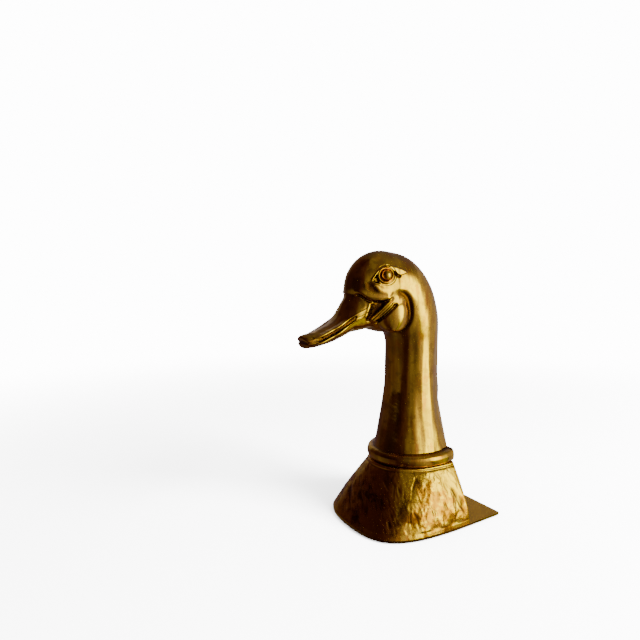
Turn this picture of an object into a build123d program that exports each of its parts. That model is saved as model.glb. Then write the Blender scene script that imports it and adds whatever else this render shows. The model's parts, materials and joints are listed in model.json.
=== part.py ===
"""Brass duck-head bookend: a hollow cast head and neck, a collar ring, a base shell and sheet plates.

Millimetres. The duck looks along -Y, its left side is +X, and +Z is up. The origin is on the shelf,
half way across, below the flat face that the books lean on.
"""
import math
import os

from build123d import *

# Driving sizes of the whole bookend
overall_height = 200.0
head_length = 79.0
head_height = 58.0
head_width = 41.5
bill_reach = 117.3
base_length = 77.5
base_width = 91.0
tongue_length = 31.0

# Sheet metal, felt and casting walls
sheet_thickness = 1.6
felt_thickness = 1.0
felt_inset = 3.0
casting_wall = 3.5
plate_margin = 0.5
plate_corner_radius = 1.5
overrun = 20.0

# Base shell, a bell with a flat back and a rounded front
base_height = 39.4
shoulder_width = 57.0
shoulder_length = 52.5
base_front_share = 0.80
shoulder_front_share = 0.64
base_swell_height_shares = (0.0, 0.29, 0.64, 1.0)
base_swell_shares = (0.0, 0.17, 0.54, 1.0)
base_front_swell_shares = (0.0, 0.32, 0.64, 1.0)

# Neck, an upright tube that widens down to an oval root
neck_root_width = 51.5
neck_root_depth = 65.0
neck_root_setback = 15.0
neck_width = 38.4
neck_depth = 37.6
neck_top_below_crown = 33.0
spigot_depth = 6.0
spigot_step = 4.0
spigot_fit = 0.15

# Each neck station: height, flare to the root, and how far the tube leans forwards
neck_height_shares = (0.0, 0.09, 0.17, 0.28, 0.42, 0.57, 0.72, 0.87, 1.0)
neck_width_flare_shares = (1.0, 0.70, 0.47, 0.22, 0.06, 0.0, 0.0, 0.02, -0.10)
neck_depth_flare_shares = (1.0, 0.84, 0.58, 0.25, 0.05, 0.0, 0.02, 0.10, 0.06)
neck_setback_flare_shares = (1.0, 0.80, 0.52, 0.26, 0.08, 0.0, -0.15, -0.60, -0.95)

# Collar ring
collar_height = 10.0
collar_reach = 5.8
collar_rounding = 4.6
collar_fit = 0.10

# Back plate that closes the open back
back_plate_height = 96.0

# Head stations: distance forwards, jaw line, crown line and half width
head_forward_shares = (0.02, 0.10, 0.24, 0.41, 0.63, 0.80, 0.92, 0.975, 1.0)
head_jaw_shares = (0.18, 0.03, -0.05, -0.06, -0.04, 0.01, 0.10, 0.20, 0.30)
head_crown_shares = (0.38, 0.58, 0.79, 0.93, 1.0, 0.93, 0.78, 0.66, 0.54)
head_width_shares = (0.26, 0.72, 0.97, 1.0, 0.97, 0.80, 0.56, 0.34, 0.16)

# Head cavity: the wall round the core, and how far back and forwards the core runs
head_wall = 6.0
core_back_share = 0.10
core_front_share = 0.92

# Cheeks
cheek_radius = 13.2
cheek_bulge = 1.25
cheek_setback = 33.5
cheek_below_crown = 44.5

# Eyes
eye_setback = 21.5
eye_below_crown = 18.8
eye_sinking = 2.45
eye_bead_radius = 3.6
eye_bead_depth = 1.6
eye_pocket_gap = 0.12
eye_swing = 14.0
eye_tilt = 14.0
lid_radius = 5.0
lid_thickness = 1.0
lid_depth = 0.6

# Brow ridges
brow_length = 22.0
brow_thickness = 6.0
brow_setback = 30.0
brow_below_crown = 14.5
brow_sinking = 4.75
brow_swing = 8.0
brow_slope = 10.0

# Bill stations: distance forwards, ridge, widest level, keel and half width
bill_root_setback = 19.0
bill_root_below_crown = 22.0
bill_tip_below_crown = 66.0
bill_width = 28.0
bill_ridge_fullness_share = 0.26
bill_keel_fullness_share = 0.50
bill_forward_shares = (0.0, 0.18, 0.32, 0.42, 0.53, 0.65, 0.77, 0.88, 0.96, 1.0)
bill_ridge_shares = (1.0, 0.92, 0.73, 0.58, 0.40, 0.275, 0.19, 0.135, 0.10, 0.07)
bill_edge_shares = (0.60, 0.52, 0.40, 0.31, 0.22, 0.15, 0.095, 0.045, 0.02, 0.01)
bill_keel_shares = (0.36, 0.25, 0.145, 0.075, 0.025, -0.02, -0.065, -0.085, -0.07, 0.0)
bill_width_shares = (0.88, 0.97, 0.95, 0.88, 0.79, 0.73, 0.70, 0.62, 0.42, 0.22)

# Gap between the bills, cut round a narrower core along the widest level
bill_gap = 2.2
bill_gap_depth = 2.4
bill_gap_start_share = 0.32

# Screws that hold the foot plate to the bosses of the base shell
screw_diameter = 3.0
screw_head_diameter = 5.4
screw_length = 9.0
screw_slot_width = 0.8
screw_slot_depth = 0.6
screw_gap = 0.05
boss_diameter = 9.0
boss_height = 11.0
boss_hole_depth = 9.5
rear_screw_inset = 9.0
rear_screw_forward = 13.0
front_screw_inset = 11.0
front_screw_share = 0.6

# Levels and places that follow from the sizes above
plate_bottom = felt_thickness
plate_top = plate_bottom + sheet_thickness
shoulder_level = plate_top + base_height
collar_top = shoulder_level + collar_height
neck_height = overall_height - neck_top_below_crown - collar_top
jaw_level = overall_height - head_height
bill_root_forward = head_length - bill_root_setback
bill_root_top = overall_height - bill_root_below_crown
bill_tip_height = overall_height - bill_tip_below_crown
casting_back = -sheet_thickness
spigot_bottom = shoulder_level - spigot_depth


def between(start, end, share):
    """The value that lies a share of the way from start to end."""
    return start + (end - start) * share


def bell_side(half_width, length, front_share, back):
    """The control points of a bell outline's +X side, from its straight back round to its front."""
    return [
        (half_width, back),
        (half_width, -length * front_share),
        (half_width * front_share, -length),
        (0, -length),
    ]


def bell_outline(half_width, length, front_share, back):
    """A closed outline with a straight back and a front that is drawn round by two curves."""
    side = bell_side(half_width, length, front_share, back)
    with BuildSketch(Plane.XY, mode=Mode.PRIVATE) as outline:
        with BuildLine():
            Bezier(*side)
            Bezier(*[(-across, along) for across, along in reversed(side)])
            Line((-half_width, back), (half_width, back))
        make_face()
    return outline.sketch


def base_solid(inset, back, bottom, top):
    """The bell of the base, drawn in by inset, with its flat back at back."""
    with BuildPart() as bell:
        for height_share, swell_share, front_share in zip(
            base_swell_height_shares, base_swell_shares, base_front_swell_shares
        ):
            level = between(bottom, top, height_share)
            half_width = between(base_width, shoulder_width, swell_share) / 2 - inset
            length = between(base_length, shoulder_length, front_share) - inset
            roundness = between(base_front_share, shoulder_front_share, swell_share)
            with BuildSketch(Plane.XY.offset(level)):
                add(bell_outline(half_width, length, roundness, back))
        loft()
    return bell.part


def neck_solid(inset, bottom):
    """The neck tube, drawn in by inset: an upright oval root up to the collar, then a waisted loft."""
    with BuildPart() as neck:
        for height_share, width_share, depth_share, setback_share in zip(
            neck_height_shares,
            neck_width_flare_shares,
            neck_depth_flare_shares,
            neck_setback_flare_shares,
        ):
            width = between(neck_width, neck_root_width, width_share)
            depth = between(neck_depth, neck_root_depth, depth_share)
            setback = between(neck_depth / 2, neck_root_setback, setback_share)
            with BuildSketch(Plane.XY.offset(collar_top + neck_height * height_share)):
                with Locations((0, -setback)):
                    Ellipse(width / 2 - inset, depth / 2 - inset)
        loft()
        with BuildSketch(Plane.XY.offset(bottom)):
            with Locations((0, -neck_root_setback)):
                Ellipse(neck_root_width / 2 - inset, neck_root_depth / 2 - inset)
        extrude(amount=collar_top - bottom)
    return neck.part


def head_solid(inset, back_share, front_share):
    """The skull, drawn in by inset: ovals between the jaw line and the crown line, nape to forehead."""
    stations = [
        station
        for station in zip(head_forward_shares, head_jaw_shares, head_crown_shares, head_width_shares)
        if back_share <= station[0] <= front_share
    ]
    with BuildPart() as skull:
        for forward_share, jaw_share, crown_share, width_share in stations:
            jaw = jaw_level + head_height * jaw_share
            crown = jaw_level + head_height * crown_share
            with BuildSketch(Plane.XZ.offset(head_length * forward_share)):
                with Locations((0, (jaw + crown) / 2)):
                    Ellipse(head_width * width_share / 2 - inset, (crown - jaw) / 2 - inset)
        loft()
    return skull.part


def bill_stations():
    """Each station of the bill: distance forwards, ridge, widest level, keel and half width."""
    return [
        (
            between(bill_root_forward, bill_reach, forward_share),
            bill_level(ridge_share),
            bill_level(edge_share),
            bill_level(keel_share),
            bill_width * width_share / 2,
        )
        for forward_share, ridge_share, edge_share, keel_share, width_share in zip(
            bill_forward_shares,
            bill_ridge_shares,
            bill_edge_shares,
            bill_keel_shares,
            bill_width_shares,
        )
    ]


def bill_level(share):
    """The height of a bill line, given as a share of the rise from the tip to the root."""
    return between(bill_tip_height, bill_root_top, share)


def bill_solid(inset):
    """The bill, drawn in by inset: pear-shaped sections from inside the face to the blunt tip."""
    with BuildPart() as bill:
        for forward, ridge, edge, keel, full_width in bill_stations():
            half_width = full_width - inset
            shoulder = half_width * bill_ridge_fullness_share
            jaw = half_width * bill_keel_fullness_share
            high = between(edge, ridge, bill_ridge_fullness_share)
            low = between(edge, keel, bill_keel_fullness_share)
            with BuildSketch(Plane.XZ.offset(forward)):
                with BuildLine():
                    Bezier((half_width, edge), (half_width, high), (shoulder, ridge), (0, ridge))
                    Bezier((0, ridge), (-shoulder, ridge), (-half_width, high), (-half_width, edge))
                    Bezier((-half_width, edge), (-half_width, low), (-jaw, keel), (0, keel))
                    Bezier((0, keel), (jaw, keel), (half_width, low), (half_width, edge))
                make_face()
        loft()
    return bill.part


def bill_gap_solid():
    """The band between the upper and the lower bill, seen from the side, cut right across."""
    middle = [
        (forward, edge)
        for share, (forward, _, edge, _, _) in zip(bill_forward_shares, bill_stations())
        if share >= bill_gap_start_share
    ]
    upper = [(-forward, level + bill_gap / 2) for forward, level in middle]
    lower = [(-forward, level - bill_gap / 2) for forward, level in middle]
    end = -bill_reach - overrun
    with BuildPart() as band:
        with BuildSketch(Plane.YZ):
            with BuildLine():
                Spline(*upper)
                Line(upper[-1], (end, upper[-1][1]))
                Line((end, upper[-1][1]), (end, lower[-1][1]))
                Line((end, lower[-1][1]), lower[-1])
                Spline(*reversed(lower))
                Line(lower[0], upper[0])
            make_face()
        extrude(amount=bill_width, both=True)
    return band.part


def bill_groove_solid():
    """What is cut away round the bill, so that a narrower core shows between its two halves."""
    with BuildPart() as groove:
        add(bill_gap_solid())
        add(bill_solid(bill_gap_depth), mode=Mode.SUBTRACT)
    return groove.part


def eye_plane(side):
    """The plane of an eye: its centre on the skull, and its normal out of the head."""
    swing = math.radians(eye_swing)
    tilt = math.radians(eye_tilt)
    normal = (
        side * math.cos(swing) * math.cos(tilt),
        -math.sin(swing) * math.cos(tilt),
        math.sin(tilt),
    )
    origin = (
        side * (head_width / 2 - eye_sinking),
        eye_setback - head_length,
        overall_height - eye_below_crown,
    )
    return Plane(origin=origin, z_dir=normal)


def brow_plane(side):
    """The plane that a brow ridge is turned in: its long axis runs back and slightly down."""
    swing = math.radians(brow_swing)
    slope = math.radians(brow_slope)
    along = (-side * math.sin(swing), math.cos(swing) * math.cos(slope), -math.sin(slope))
    origin = (
        side * (head_width / 2 - brow_sinking),
        brow_setback - head_length,
        overall_height - brow_below_crown,
    )
    return Plane(origin=origin, x_dir=along, z_dir=(side, 0, 0))


def turned_oval(plane, length, thickness):
    """A long oval body, turned about the X axis of a plane."""
    with BuildPart() as oval:
        with BuildSketch(plane):
            Ellipse(length / 2, thickness / 2)
            Rectangle(length, thickness, align=(Align.CENTER, Align.MAX), mode=Mode.SUBTRACT)
        revolve(axis=Axis(plane.origin, plane.x_dir))
    return oval.part


def cast_cavity():
    """The hollow of the casting: the bore of the spigot, the neck's own shape inset, and a head core."""
    ledge = shoulder_level + casting_wall
    bore_step = spigot_step + casting_wall
    with BuildPart() as cavity:
        add(neck_solid(casting_wall, ledge))
        add(head_solid(head_wall, core_back_share, core_front_share))
        with BuildSketch(Plane.XY.offset(spigot_bottom)):
            with Locations((0, -neck_root_setback)):
                Ellipse(neck_root_width / 2 - bore_step, neck_root_depth / 2 - bore_step)
        extrude(amount=ledge - spigot_bottom)
    return cavity.part


def screw_places():
    """Where the four screws stand: two near the back corners, two along the rounded front."""
    front_line = Bezier(
        *bell_side(
            base_width / 2 - front_screw_inset,
            base_length - front_screw_inset,
            base_front_share,
            0,
        )
    )
    front = front_line @ front_screw_share
    rear_across = base_width / 2 - rear_screw_inset
    return [
        (side * across, along)
        for across, along in ((rear_across, -rear_screw_forward), (front.X, front.Y))
        for side in (-1, 1)
    ]


def boss_solids():
    """The four screw bosses, kept within the bell."""
    with BuildPart() as bosses:
        with BuildSketch(Plane.XY.offset(plate_top)):
            with Locations(screw_places()):
                Circle(boss_diameter / 2)
        extrude(amount=boss_height)
        add(base_solid(0, casting_back, plate_top, shoulder_level), mode=Mode.INTERSECT)
    return bosses.part


def back_slab():
    """The space of the back plate, wider than any piece in front of it."""
    with BuildPart() as slab:
        with BuildSketch(Plane.XY.offset(plate_top)):
            Rectangle(base_width + overrun, sheet_thickness, align=(Align.CENTER, Align.MAX))
        extrude(amount=back_plate_height - plate_top)
    return slab.part


def front_half():
    """Everything in front of the face that the books lean on."""
    reach = overall_height + overrun
    with BuildPart() as half:
        with BuildSketch(Plane.XY.offset(-overrun)):
            Rectangle(reach, reach, align=(Align.CENTER, Align.MAX))
        extrude(amount=reach + overrun)
    return half.part


def make_collar_outer():
    """The rounded outer body of the collar, still solid."""
    with BuildPart() as outer:
        with BuildSketch(Plane.XY.offset(shoulder_level)):
            with Locations((0, -neck_root_setback)):
                Ellipse(neck_root_width / 2 + collar_reach, neck_root_depth / 2 + collar_reach)
        extrude(amount=collar_height)
        fillet(outer.edges(), radius=collar_rounding)
    return outer.part


def make_head_and_neck():
    """The hollow casting of the head, the bill and the neck, with the spigot that enters the base."""
    cheek_across = head_width / 2 + cheek_bulge - cheek_radius
    cheek_height = overall_height - cheek_below_crown
    with BuildPart() as cast:
        add(neck_solid(0, shoulder_level))
        add(head_solid(0, 0, 1))
        for side in (-1, 1):
            with Locations((side * cheek_across, cheek_setback - head_length, cheek_height)):
                Sphere(cheek_radius)
            add(turned_oval(brow_plane(side), brow_length, brow_thickness))
        add(bill_solid(0))
        add(bill_groove_solid(), mode=Mode.SUBTRACT)
        with BuildSketch(Plane.XY.offset(spigot_bottom)):
            with Locations((0, -neck_root_setback)):
                Ellipse(neck_root_width / 2 - spigot_step, neck_root_depth / 2 - spigot_step)
        extrude(amount=spigot_depth)
        add(cast_cavity(), mode=Mode.SUBTRACT)
        for side in (-1, 1):
            plane = eye_plane(side)
            with Locations(plane.offset(-eye_bead_depth)):
                Sphere(eye_bead_radius + eye_pocket_gap, mode=Mode.SUBTRACT)
            with Locations(plane.offset(-lid_depth)):
                Torus(lid_radius, lid_thickness)
        add(front_half(), mode=Mode.INTERSECT)
        add(back_slab(), mode=Mode.SUBTRACT)
    cast.part.label = "head_and_neck"
    return cast


def make_eye(side, name):
    """A round bead set in its pocket."""
    with BuildPart() as eye:
        with Locations(eye_plane(side).offset(-eye_bead_depth)):
            Sphere(eye_bead_radius)
    eye.part.label = name
    return eye


def make_collar_ring():
    """The ring round the neck's root, cut flat where the back plate closes it."""
    with BuildPart() as ring:
        add(make_collar_outer())
        with BuildSketch(Plane.XY.offset(shoulder_level)):
            with Locations((0, -neck_root_setback)):
                Ellipse(neck_root_width / 2 + collar_fit, neck_root_depth / 2 + collar_fit)
        extrude(amount=collar_height, mode=Mode.SUBTRACT)
        split(bisect_by=Plane.XZ.offset(sheet_thickness), keep=Keep.TOP)
    ring.part.label = "collar_ring"
    return ring


def make_base_shell():
    """The bell-shaped base casting, open below and behind, with four bosses for the plate screws."""
    inner_top = shoulder_level - casting_wall
    with BuildPart() as shell:
        add(base_solid(0, casting_back, plate_top, shoulder_level))
        add(base_solid(casting_wall, overrun, plate_top, inner_top), mode=Mode.SUBTRACT)
        add(boss_solids())
        with Locations(Plane.XY.offset(plate_top)):
            with Locations(screw_places()):
                Cylinder(
                    screw_diameter / 2 + screw_gap,
                    boss_hole_depth,
                    align=(Align.CENTER, Align.CENTER, Align.MIN),
                    mode=Mode.SUBTRACT,
                )
        with BuildSketch(Plane.XY.offset(inner_top)):
            with Locations((0, -neck_root_setback)):
                Ellipse(
                    neck_root_width / 2 - spigot_step + spigot_fit,
                    neck_root_depth / 2 - spigot_step + spigot_fit,
                )
        extrude(amount=casting_wall, mode=Mode.SUBTRACT)
    shell.part.label = "base_shell"
    return shell


def make_back_plate():
    """The sheet that closes the back, ground flush with the castings that it is brazed to."""
    with BuildPart() as plate:
        add(base_solid(0, 0, plate_top, shoulder_level))
        add(make_collar_outer())
        add(neck_solid(0, shoulder_level))
        add(back_slab(), mode=Mode.INTERSECT)
    plate.part.label = "back_plate"
    return plate


def plate_outline(inset):
    """The foot plate seen from above: the base's outline and the tongue that runs under the books."""
    half_width = base_width / 2 + plate_margin - inset
    with BuildSketch(Plane.XY, mode=Mode.PRIVATE) as outline:
        add(bell_outline(half_width, base_length + plate_margin - inset, base_front_share, 0))
        Rectangle(2 * half_width, tongue_length - inset, align=(Align.CENTER, Align.MIN))
        corners = outline.vertices().group_by(Axis.Y)[-1]
        fillet(corners, radius=plate_corner_radius)
    return outline.sketch


def make_foot_plate():
    """The sheet under the base, with countersunk holes for the four screws."""
    with BuildPart() as plate:
        with BuildSketch(Plane.XY.offset(plate_bottom)):
            add(plate_outline(0))
        extrude(amount=sheet_thickness)
        with Locations(Plane.XY.offset(plate_bottom).rotated((180, 0, 0))):
            with Locations([(across, -along) for across, along in screw_places()]):
                CounterSinkHole(
                    screw_diameter / 2 + 2 * screw_gap, screw_head_diameter / 2 + 2 * screw_gap
                )
    plate.part.label = "foot_plate"
    return plate


def make_foot_screws():
    """Four countersunk screws with slotted heads, driven from below."""
    head_depth = (screw_head_diameter - screw_diameter) / 2
    with BuildPart() as screws:
        with BuildSketch(Plane.XY.offset(plate_bottom)):
            with Locations(screw_places()):
                Circle(screw_diameter / 2)
        extrude(amount=screw_length)
        with Locations(Plane.XY.offset(plate_bottom)):
            with Locations(screw_places()):
                Cone(
                    screw_head_diameter / 2,
                    screw_diameter / 2,
                    head_depth,
                    align=(Align.CENTER, Align.CENTER, Align.MIN),
                )
                Box(
                    screw_head_diameter,
                    screw_slot_width,
                    screw_slot_depth,
                    align=(Align.CENTER, Align.CENTER, Align.MIN),
                    mode=Mode.SUBTRACT,
                )
    screws.part.label = "foot_screws"
    return screws


def make_felt_pad():
    """The felt under the foot plate, set in from its edges."""
    with BuildPart() as pad:
        with BuildSketch(Plane.XY):
            add(plate_outline(felt_inset))
        extrude(amount=felt_thickness)
    pad.part.label = "felt_pad"
    return pad


pieces = [
    make_head_and_neck(),
    make_eye(1, "left_eye"),
    make_eye(-1, "right_eye"),
    make_collar_ring(),
    make_base_shell(),
    make_back_plate(),
    make_foot_plate(),
    make_foot_screws(),
    make_felt_pad(),
]

os.makedirs("parts", exist_ok=True)
for piece in pieces:
    export_step(piece.part, f"parts/{piece.part.label}.step")
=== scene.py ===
"""The brass duck-head bookend, sculpted and finished for rendering.

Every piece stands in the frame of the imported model: metres, +Z up, the bill towards -Y, the duck's
left side towards +X, and the origin on the shelf below the flat face that the books lean on.
"""
import itertools
import json
import logging
import math
from collections.abc import Callable, Sequence
from dataclasses import dataclass, field
from enum import Enum

import bmesh
import bpy
import numpy as np
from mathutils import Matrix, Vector

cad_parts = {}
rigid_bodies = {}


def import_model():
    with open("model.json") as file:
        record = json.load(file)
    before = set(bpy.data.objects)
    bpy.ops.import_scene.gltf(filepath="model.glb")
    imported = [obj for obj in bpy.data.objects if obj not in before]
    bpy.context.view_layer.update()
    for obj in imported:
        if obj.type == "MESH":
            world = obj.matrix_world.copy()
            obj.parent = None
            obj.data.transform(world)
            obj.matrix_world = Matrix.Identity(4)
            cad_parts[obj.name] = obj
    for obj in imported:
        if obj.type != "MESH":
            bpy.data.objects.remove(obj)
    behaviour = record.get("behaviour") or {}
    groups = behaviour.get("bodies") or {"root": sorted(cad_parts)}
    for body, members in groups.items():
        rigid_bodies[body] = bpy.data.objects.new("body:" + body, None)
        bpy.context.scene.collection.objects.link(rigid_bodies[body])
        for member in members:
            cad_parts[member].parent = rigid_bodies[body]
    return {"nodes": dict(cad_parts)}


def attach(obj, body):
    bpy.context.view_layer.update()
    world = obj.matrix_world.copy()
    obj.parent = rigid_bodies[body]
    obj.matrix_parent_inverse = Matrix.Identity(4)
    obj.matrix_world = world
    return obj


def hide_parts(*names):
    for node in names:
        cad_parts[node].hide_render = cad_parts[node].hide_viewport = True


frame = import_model()

log = logging.getLogger("bookend")

MM = 0.001
TINY = 1e-6
SPECK = 1e-9
FAR = 1e9
Array = np.ndarray
Material = bpy.types.Material
Mesh = bpy.types.Mesh
Node = bpy.types.Node
Piece = bpy.types.Object
Socket = bpy.types.NodeSocket
Place = tuple[float, float, float]
Spot = tuple[float, float]
Field = Callable[[Array], Array]


def soft_union(first: Array, second: Array, blend: float) -> Array:
    """Join two bodies of clay with a rounded seam.

    Args:
        first: Distances to the first body.
        second: Distances to the second body.
        blend: The width of the seam in millimetres.

    Returns:
        Distances to the joined body.
    """
    if blend <= 0.0:
        return np.minimum(first, second)
    share = np.clip(0.5 + 0.5 * (second - first) / blend, 0.0, 1.0)
    return second * (1.0 - share) + first * share - blend * share * (1.0 - share)


def soft_cut(body: Array, tool: Array, blend: float) -> Array:
    """Cut a tool's shape out of a body, with a rounded edge blend millimetres wide."""
    return -soft_union(-body, tool, blend)


def smooth_step(value: Array) -> Array:
    """Ease from 0 to 1 as value goes from 0 to 1."""
    share = np.clip(value, 0.0, 1.0)
    return share * share * (3.0 - 2.0 * share)


def bell(values: Array, middle: float, reach: float) -> Array:
    """1 at the middle, falling off to both sides."""
    return np.exp(-(((values - middle) / reach) ** 2))


def unit(ways: Array) -> Array:
    """Directions scaled to length 1."""
    return ways / np.maximum(np.linalg.norm(ways, axis=-1, keepdims=True), SPECK)


def circle(radius: float, step: int) -> tuple[Spot, ...]:
    """Spots every step degrees round a circle on the sheet."""
    turns = np.radians(np.arange(0, 360, step))
    return tuple((radius * math.cos(turn), radius * math.sin(turn)) for turn in turns)


def through_points(points: Sequence[Sequence[float]], steps: int) -> Array:
    """Draw a smooth line through points.

    Args:
        points: The points, in two or three dimensions.
        steps: How many short runs each span between two points gets.

    Returns:
        The line's own points.
    """
    given = np.array(points, float)
    padded = np.vstack([2 * given[0] - given[1], given, 2 * given[-1] - given[-2]])
    share = np.arange(steps)[:, None] / steps
    runs = []
    for index in range(len(given) - 1):
        before, start, end, after = padded[index : index + 4]
        bend = (2 * before - 5 * start + 4 * end - after) * share**2
        twist = (3 * start - before - 3 * end + after) * share**3
        runs.append(0.5 * (2 * start + (end - before) * share + bend + twist))
    return np.vstack([*runs, given[-1:]])


def along_table(values: Array, stations: Sequence[float], sizes: Sequence[float]) -> Array:
    """Read sizes off a smooth curve through rising stations, held at the first and the last one."""
    curve = through_points(list(zip(stations, sizes)), 12)
    return np.interp(values, np.maximum.accumulate(curve[:, 0]), curve[:, 1])


@dataclass(frozen=True)
class Mass:
    """A rounded lump of clay: an ellipsoid on the middle plane, or one of a pair beside it.

    Attributes:
        centre: Its middle in millimetres; x is the distance from the middle plane.
        radii: Its half sizes across, along and up.
        pitch: How far its long axis turns about the X axis, in radians.
        swing: How far it turns about the Z axis, in radians.
        blend: The width of the seam where it joins the rest.
    """

    centre: Place
    radii: Place
    pitch: float = 0.0
    swing: float = 0.0
    blend: float = 4.0

    def distance(self, points: Array) -> Array:
        """Measure how far points are from the lump.

        Args:
            points: Points in millimetres.

        Returns:
            One distance for each point, below zero inside.
        """
        offset = points - np.array(self.centre)
        cosine, sine = math.cos(self.swing), math.sin(self.swing)
        across = offset[..., 0] * cosine + offset[..., 1] * sine
        along = -offset[..., 0] * sine + offset[..., 1] * cosine
        cosine, sine = math.cos(self.pitch), math.sin(self.pitch)
        forward = along * cosine + offset[..., 2] * sine
        up = -along * sine + offset[..., 2] * cosine
        local = np.stack([across, forward, up], -1)
        radii = np.array(self.radii)
        first = np.sqrt(((local / radii) ** 2).sum(-1)) + TINY
        second = np.sqrt(((local / radii**2) ** 2).sum(-1)) + TINY
        return first * (first - 1.0) / second


@dataclass(frozen=True)
class SightSheet:
    """A sheet held square to a line of sight, on which the side of the head is drawn in millimetres.

    Attributes:
        eye_point: Where the drawing is seen from, in millimetres.
        right: The sheet's direction to the right.
        pitch: How far the line of sight dips, in degrees.
        origin: The point of the head that the sheet's zero covers.
    """

    eye_point: Place = (258.7, -252.1, 168.8)
    right: Place = (0.506, 0.8625, 0.0)
    pitch: float = 3.49
    origin: Place = (17.0, -56.98, 181.07)

    def basis(self) -> tuple[Array, Array, Array]:
        """Find how the sheet is held.

        Returns:
            Its right, its up, and the direction of sight.
        """
        right = np.array(self.right)
        right = right / np.linalg.norm(right)
        level = np.array([-right[1], right[0], 0.0])
        dip = math.radians(self.pitch)
        sight = level * math.cos(dip) - np.array([0.0, 0.0, math.sin(dip)])
        return right, np.cross(right, sight), sight

    def flat(self, points: Array) -> Array:
        """Find where points of the head are seen on the sheet.

        Args:
            points: Points in millimetres.

        Returns:
            Two columns: to the right, and up.
        """
        right, up, sight = self.basis()
        offset = points - np.array(self.eye_point)
        depth = offset @ sight
        home = np.array(self.origin) - np.array(self.eye_point)
        reach = float(home @ sight)
        across = reach * (offset @ right) / depth - float(home @ right)
        above = reach * (offset @ up) / depth - float(home @ up)
        return np.stack([across, above], -1)


class Tool(Enum):
    """How a drawn mark changes the clay."""

    RAISE = -1.0
    SINK = 1.0


def beside_run(flat: Array, start: Array, run: Array) -> tuple[Array, Array]:
    """Where on a straight run the nearest spot to each place lies, from 0 to 1, and the gap to it."""
    share = np.clip(((flat - start) @ run) / max(float(run @ run), SPECK), 0.0, 1.0)
    return share, np.linalg.norm(flat - start - share[..., None] * run, axis=-1)


@dataclass(frozen=True)
class Line:
    """A ridge or a crease along a line drawn on the sheet.

    Attributes:
        spots: Places on the sheet.
        tool: Whether the line stands up or is pressed in.
        width: Half of the line's width.
        depth: How far it stands up or in.
        closed: Whether the line runs back to its start.
        fade: How much of each end tapers away, as a share of the line.
    """

    spots: tuple[Spot, ...]
    tool: Tool
    width: float
    depth: float
    closed: bool = False
    fade: float = 0.15

    def mark(self, flat: Array) -> Array:
        """Draw the line.

        Args:
            flat: Places on the sheet.

        Returns:
            How far the clay is moved at each place.
        """
        spots = self.spots + self.spots[:1] if self.closed else self.spots
        path = through_points(spots, 6)
        best = np.full(flat.shape[:-1], FAR)
        where = np.zeros(flat.shape[:-1])
        for index in range(len(path) - 1):
            share, gap = beside_run(flat, path[index], path[index + 1] - path[index])
            nearer = gap < best
            best = np.where(nearer, gap, best)
            where = np.where(nearer, (index + share) / (len(path) - 1), where)
        height = self.depth * np.exp(-((best / self.width) ** 2))
        if self.fade > 0.0 and not self.closed:
            height = height * smooth_step(np.minimum(where, 1.0 - where) / self.fade)
        return self.tool.value * height


@dataclass(frozen=True)
class Patch:
    """A raised or sunken field inside an outline drawn on the sheet.

    Attributes:
        spots: The outline's places on the sheet, in order.
        tool: Whether the field stands up or is pressed in.
        depth: How far it stands up or in.
        edge: The width of its sloping edge.
        lean: How much of the depth is lost from the outline's top to its bottom, as a share.
    """

    spots: tuple[Spot, ...]
    tool: Tool
    depth: float
    edge: float
    lean: float = 0.0

    def mark(self, flat: Array) -> Array:
        """Draw the field.

        Args:
            flat: Places on the sheet.

        Returns:
            How far the clay is moved at each place.
        """
        outline = through_points(self.spots + self.spots[:1], 5)
        best = np.full(flat.shape[:-1], FAR)
        inside = np.zeros(flat.shape[:-1], bool)
        for start, end in zip(outline[:-1], outline[1:]):
            run = end - start
            best = np.minimum(best, beside_run(flat, start, run)[1])
            crosses = (start[1] > flat[..., 1]) != (end[1] > flat[..., 1])
            rise = run[1] if abs(run[1]) > SPECK else SPECK
            meets = start[0] + run[0] * (flat[..., 1] - start[1]) / rise
            inside ^= crosses & (flat[..., 0] < meets)
        depth = np.where(inside, best, -best)
        top, low = outline[:, 1].max(), outline[:, 1].min()
        fall = 1.0 - self.lean * np.clip((top - flat[..., 1]) / (top - low), 0.0, 1.0)
        return self.tool.value * self.depth * fall * smooth_step(0.5 + depth / self.edge)


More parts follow.
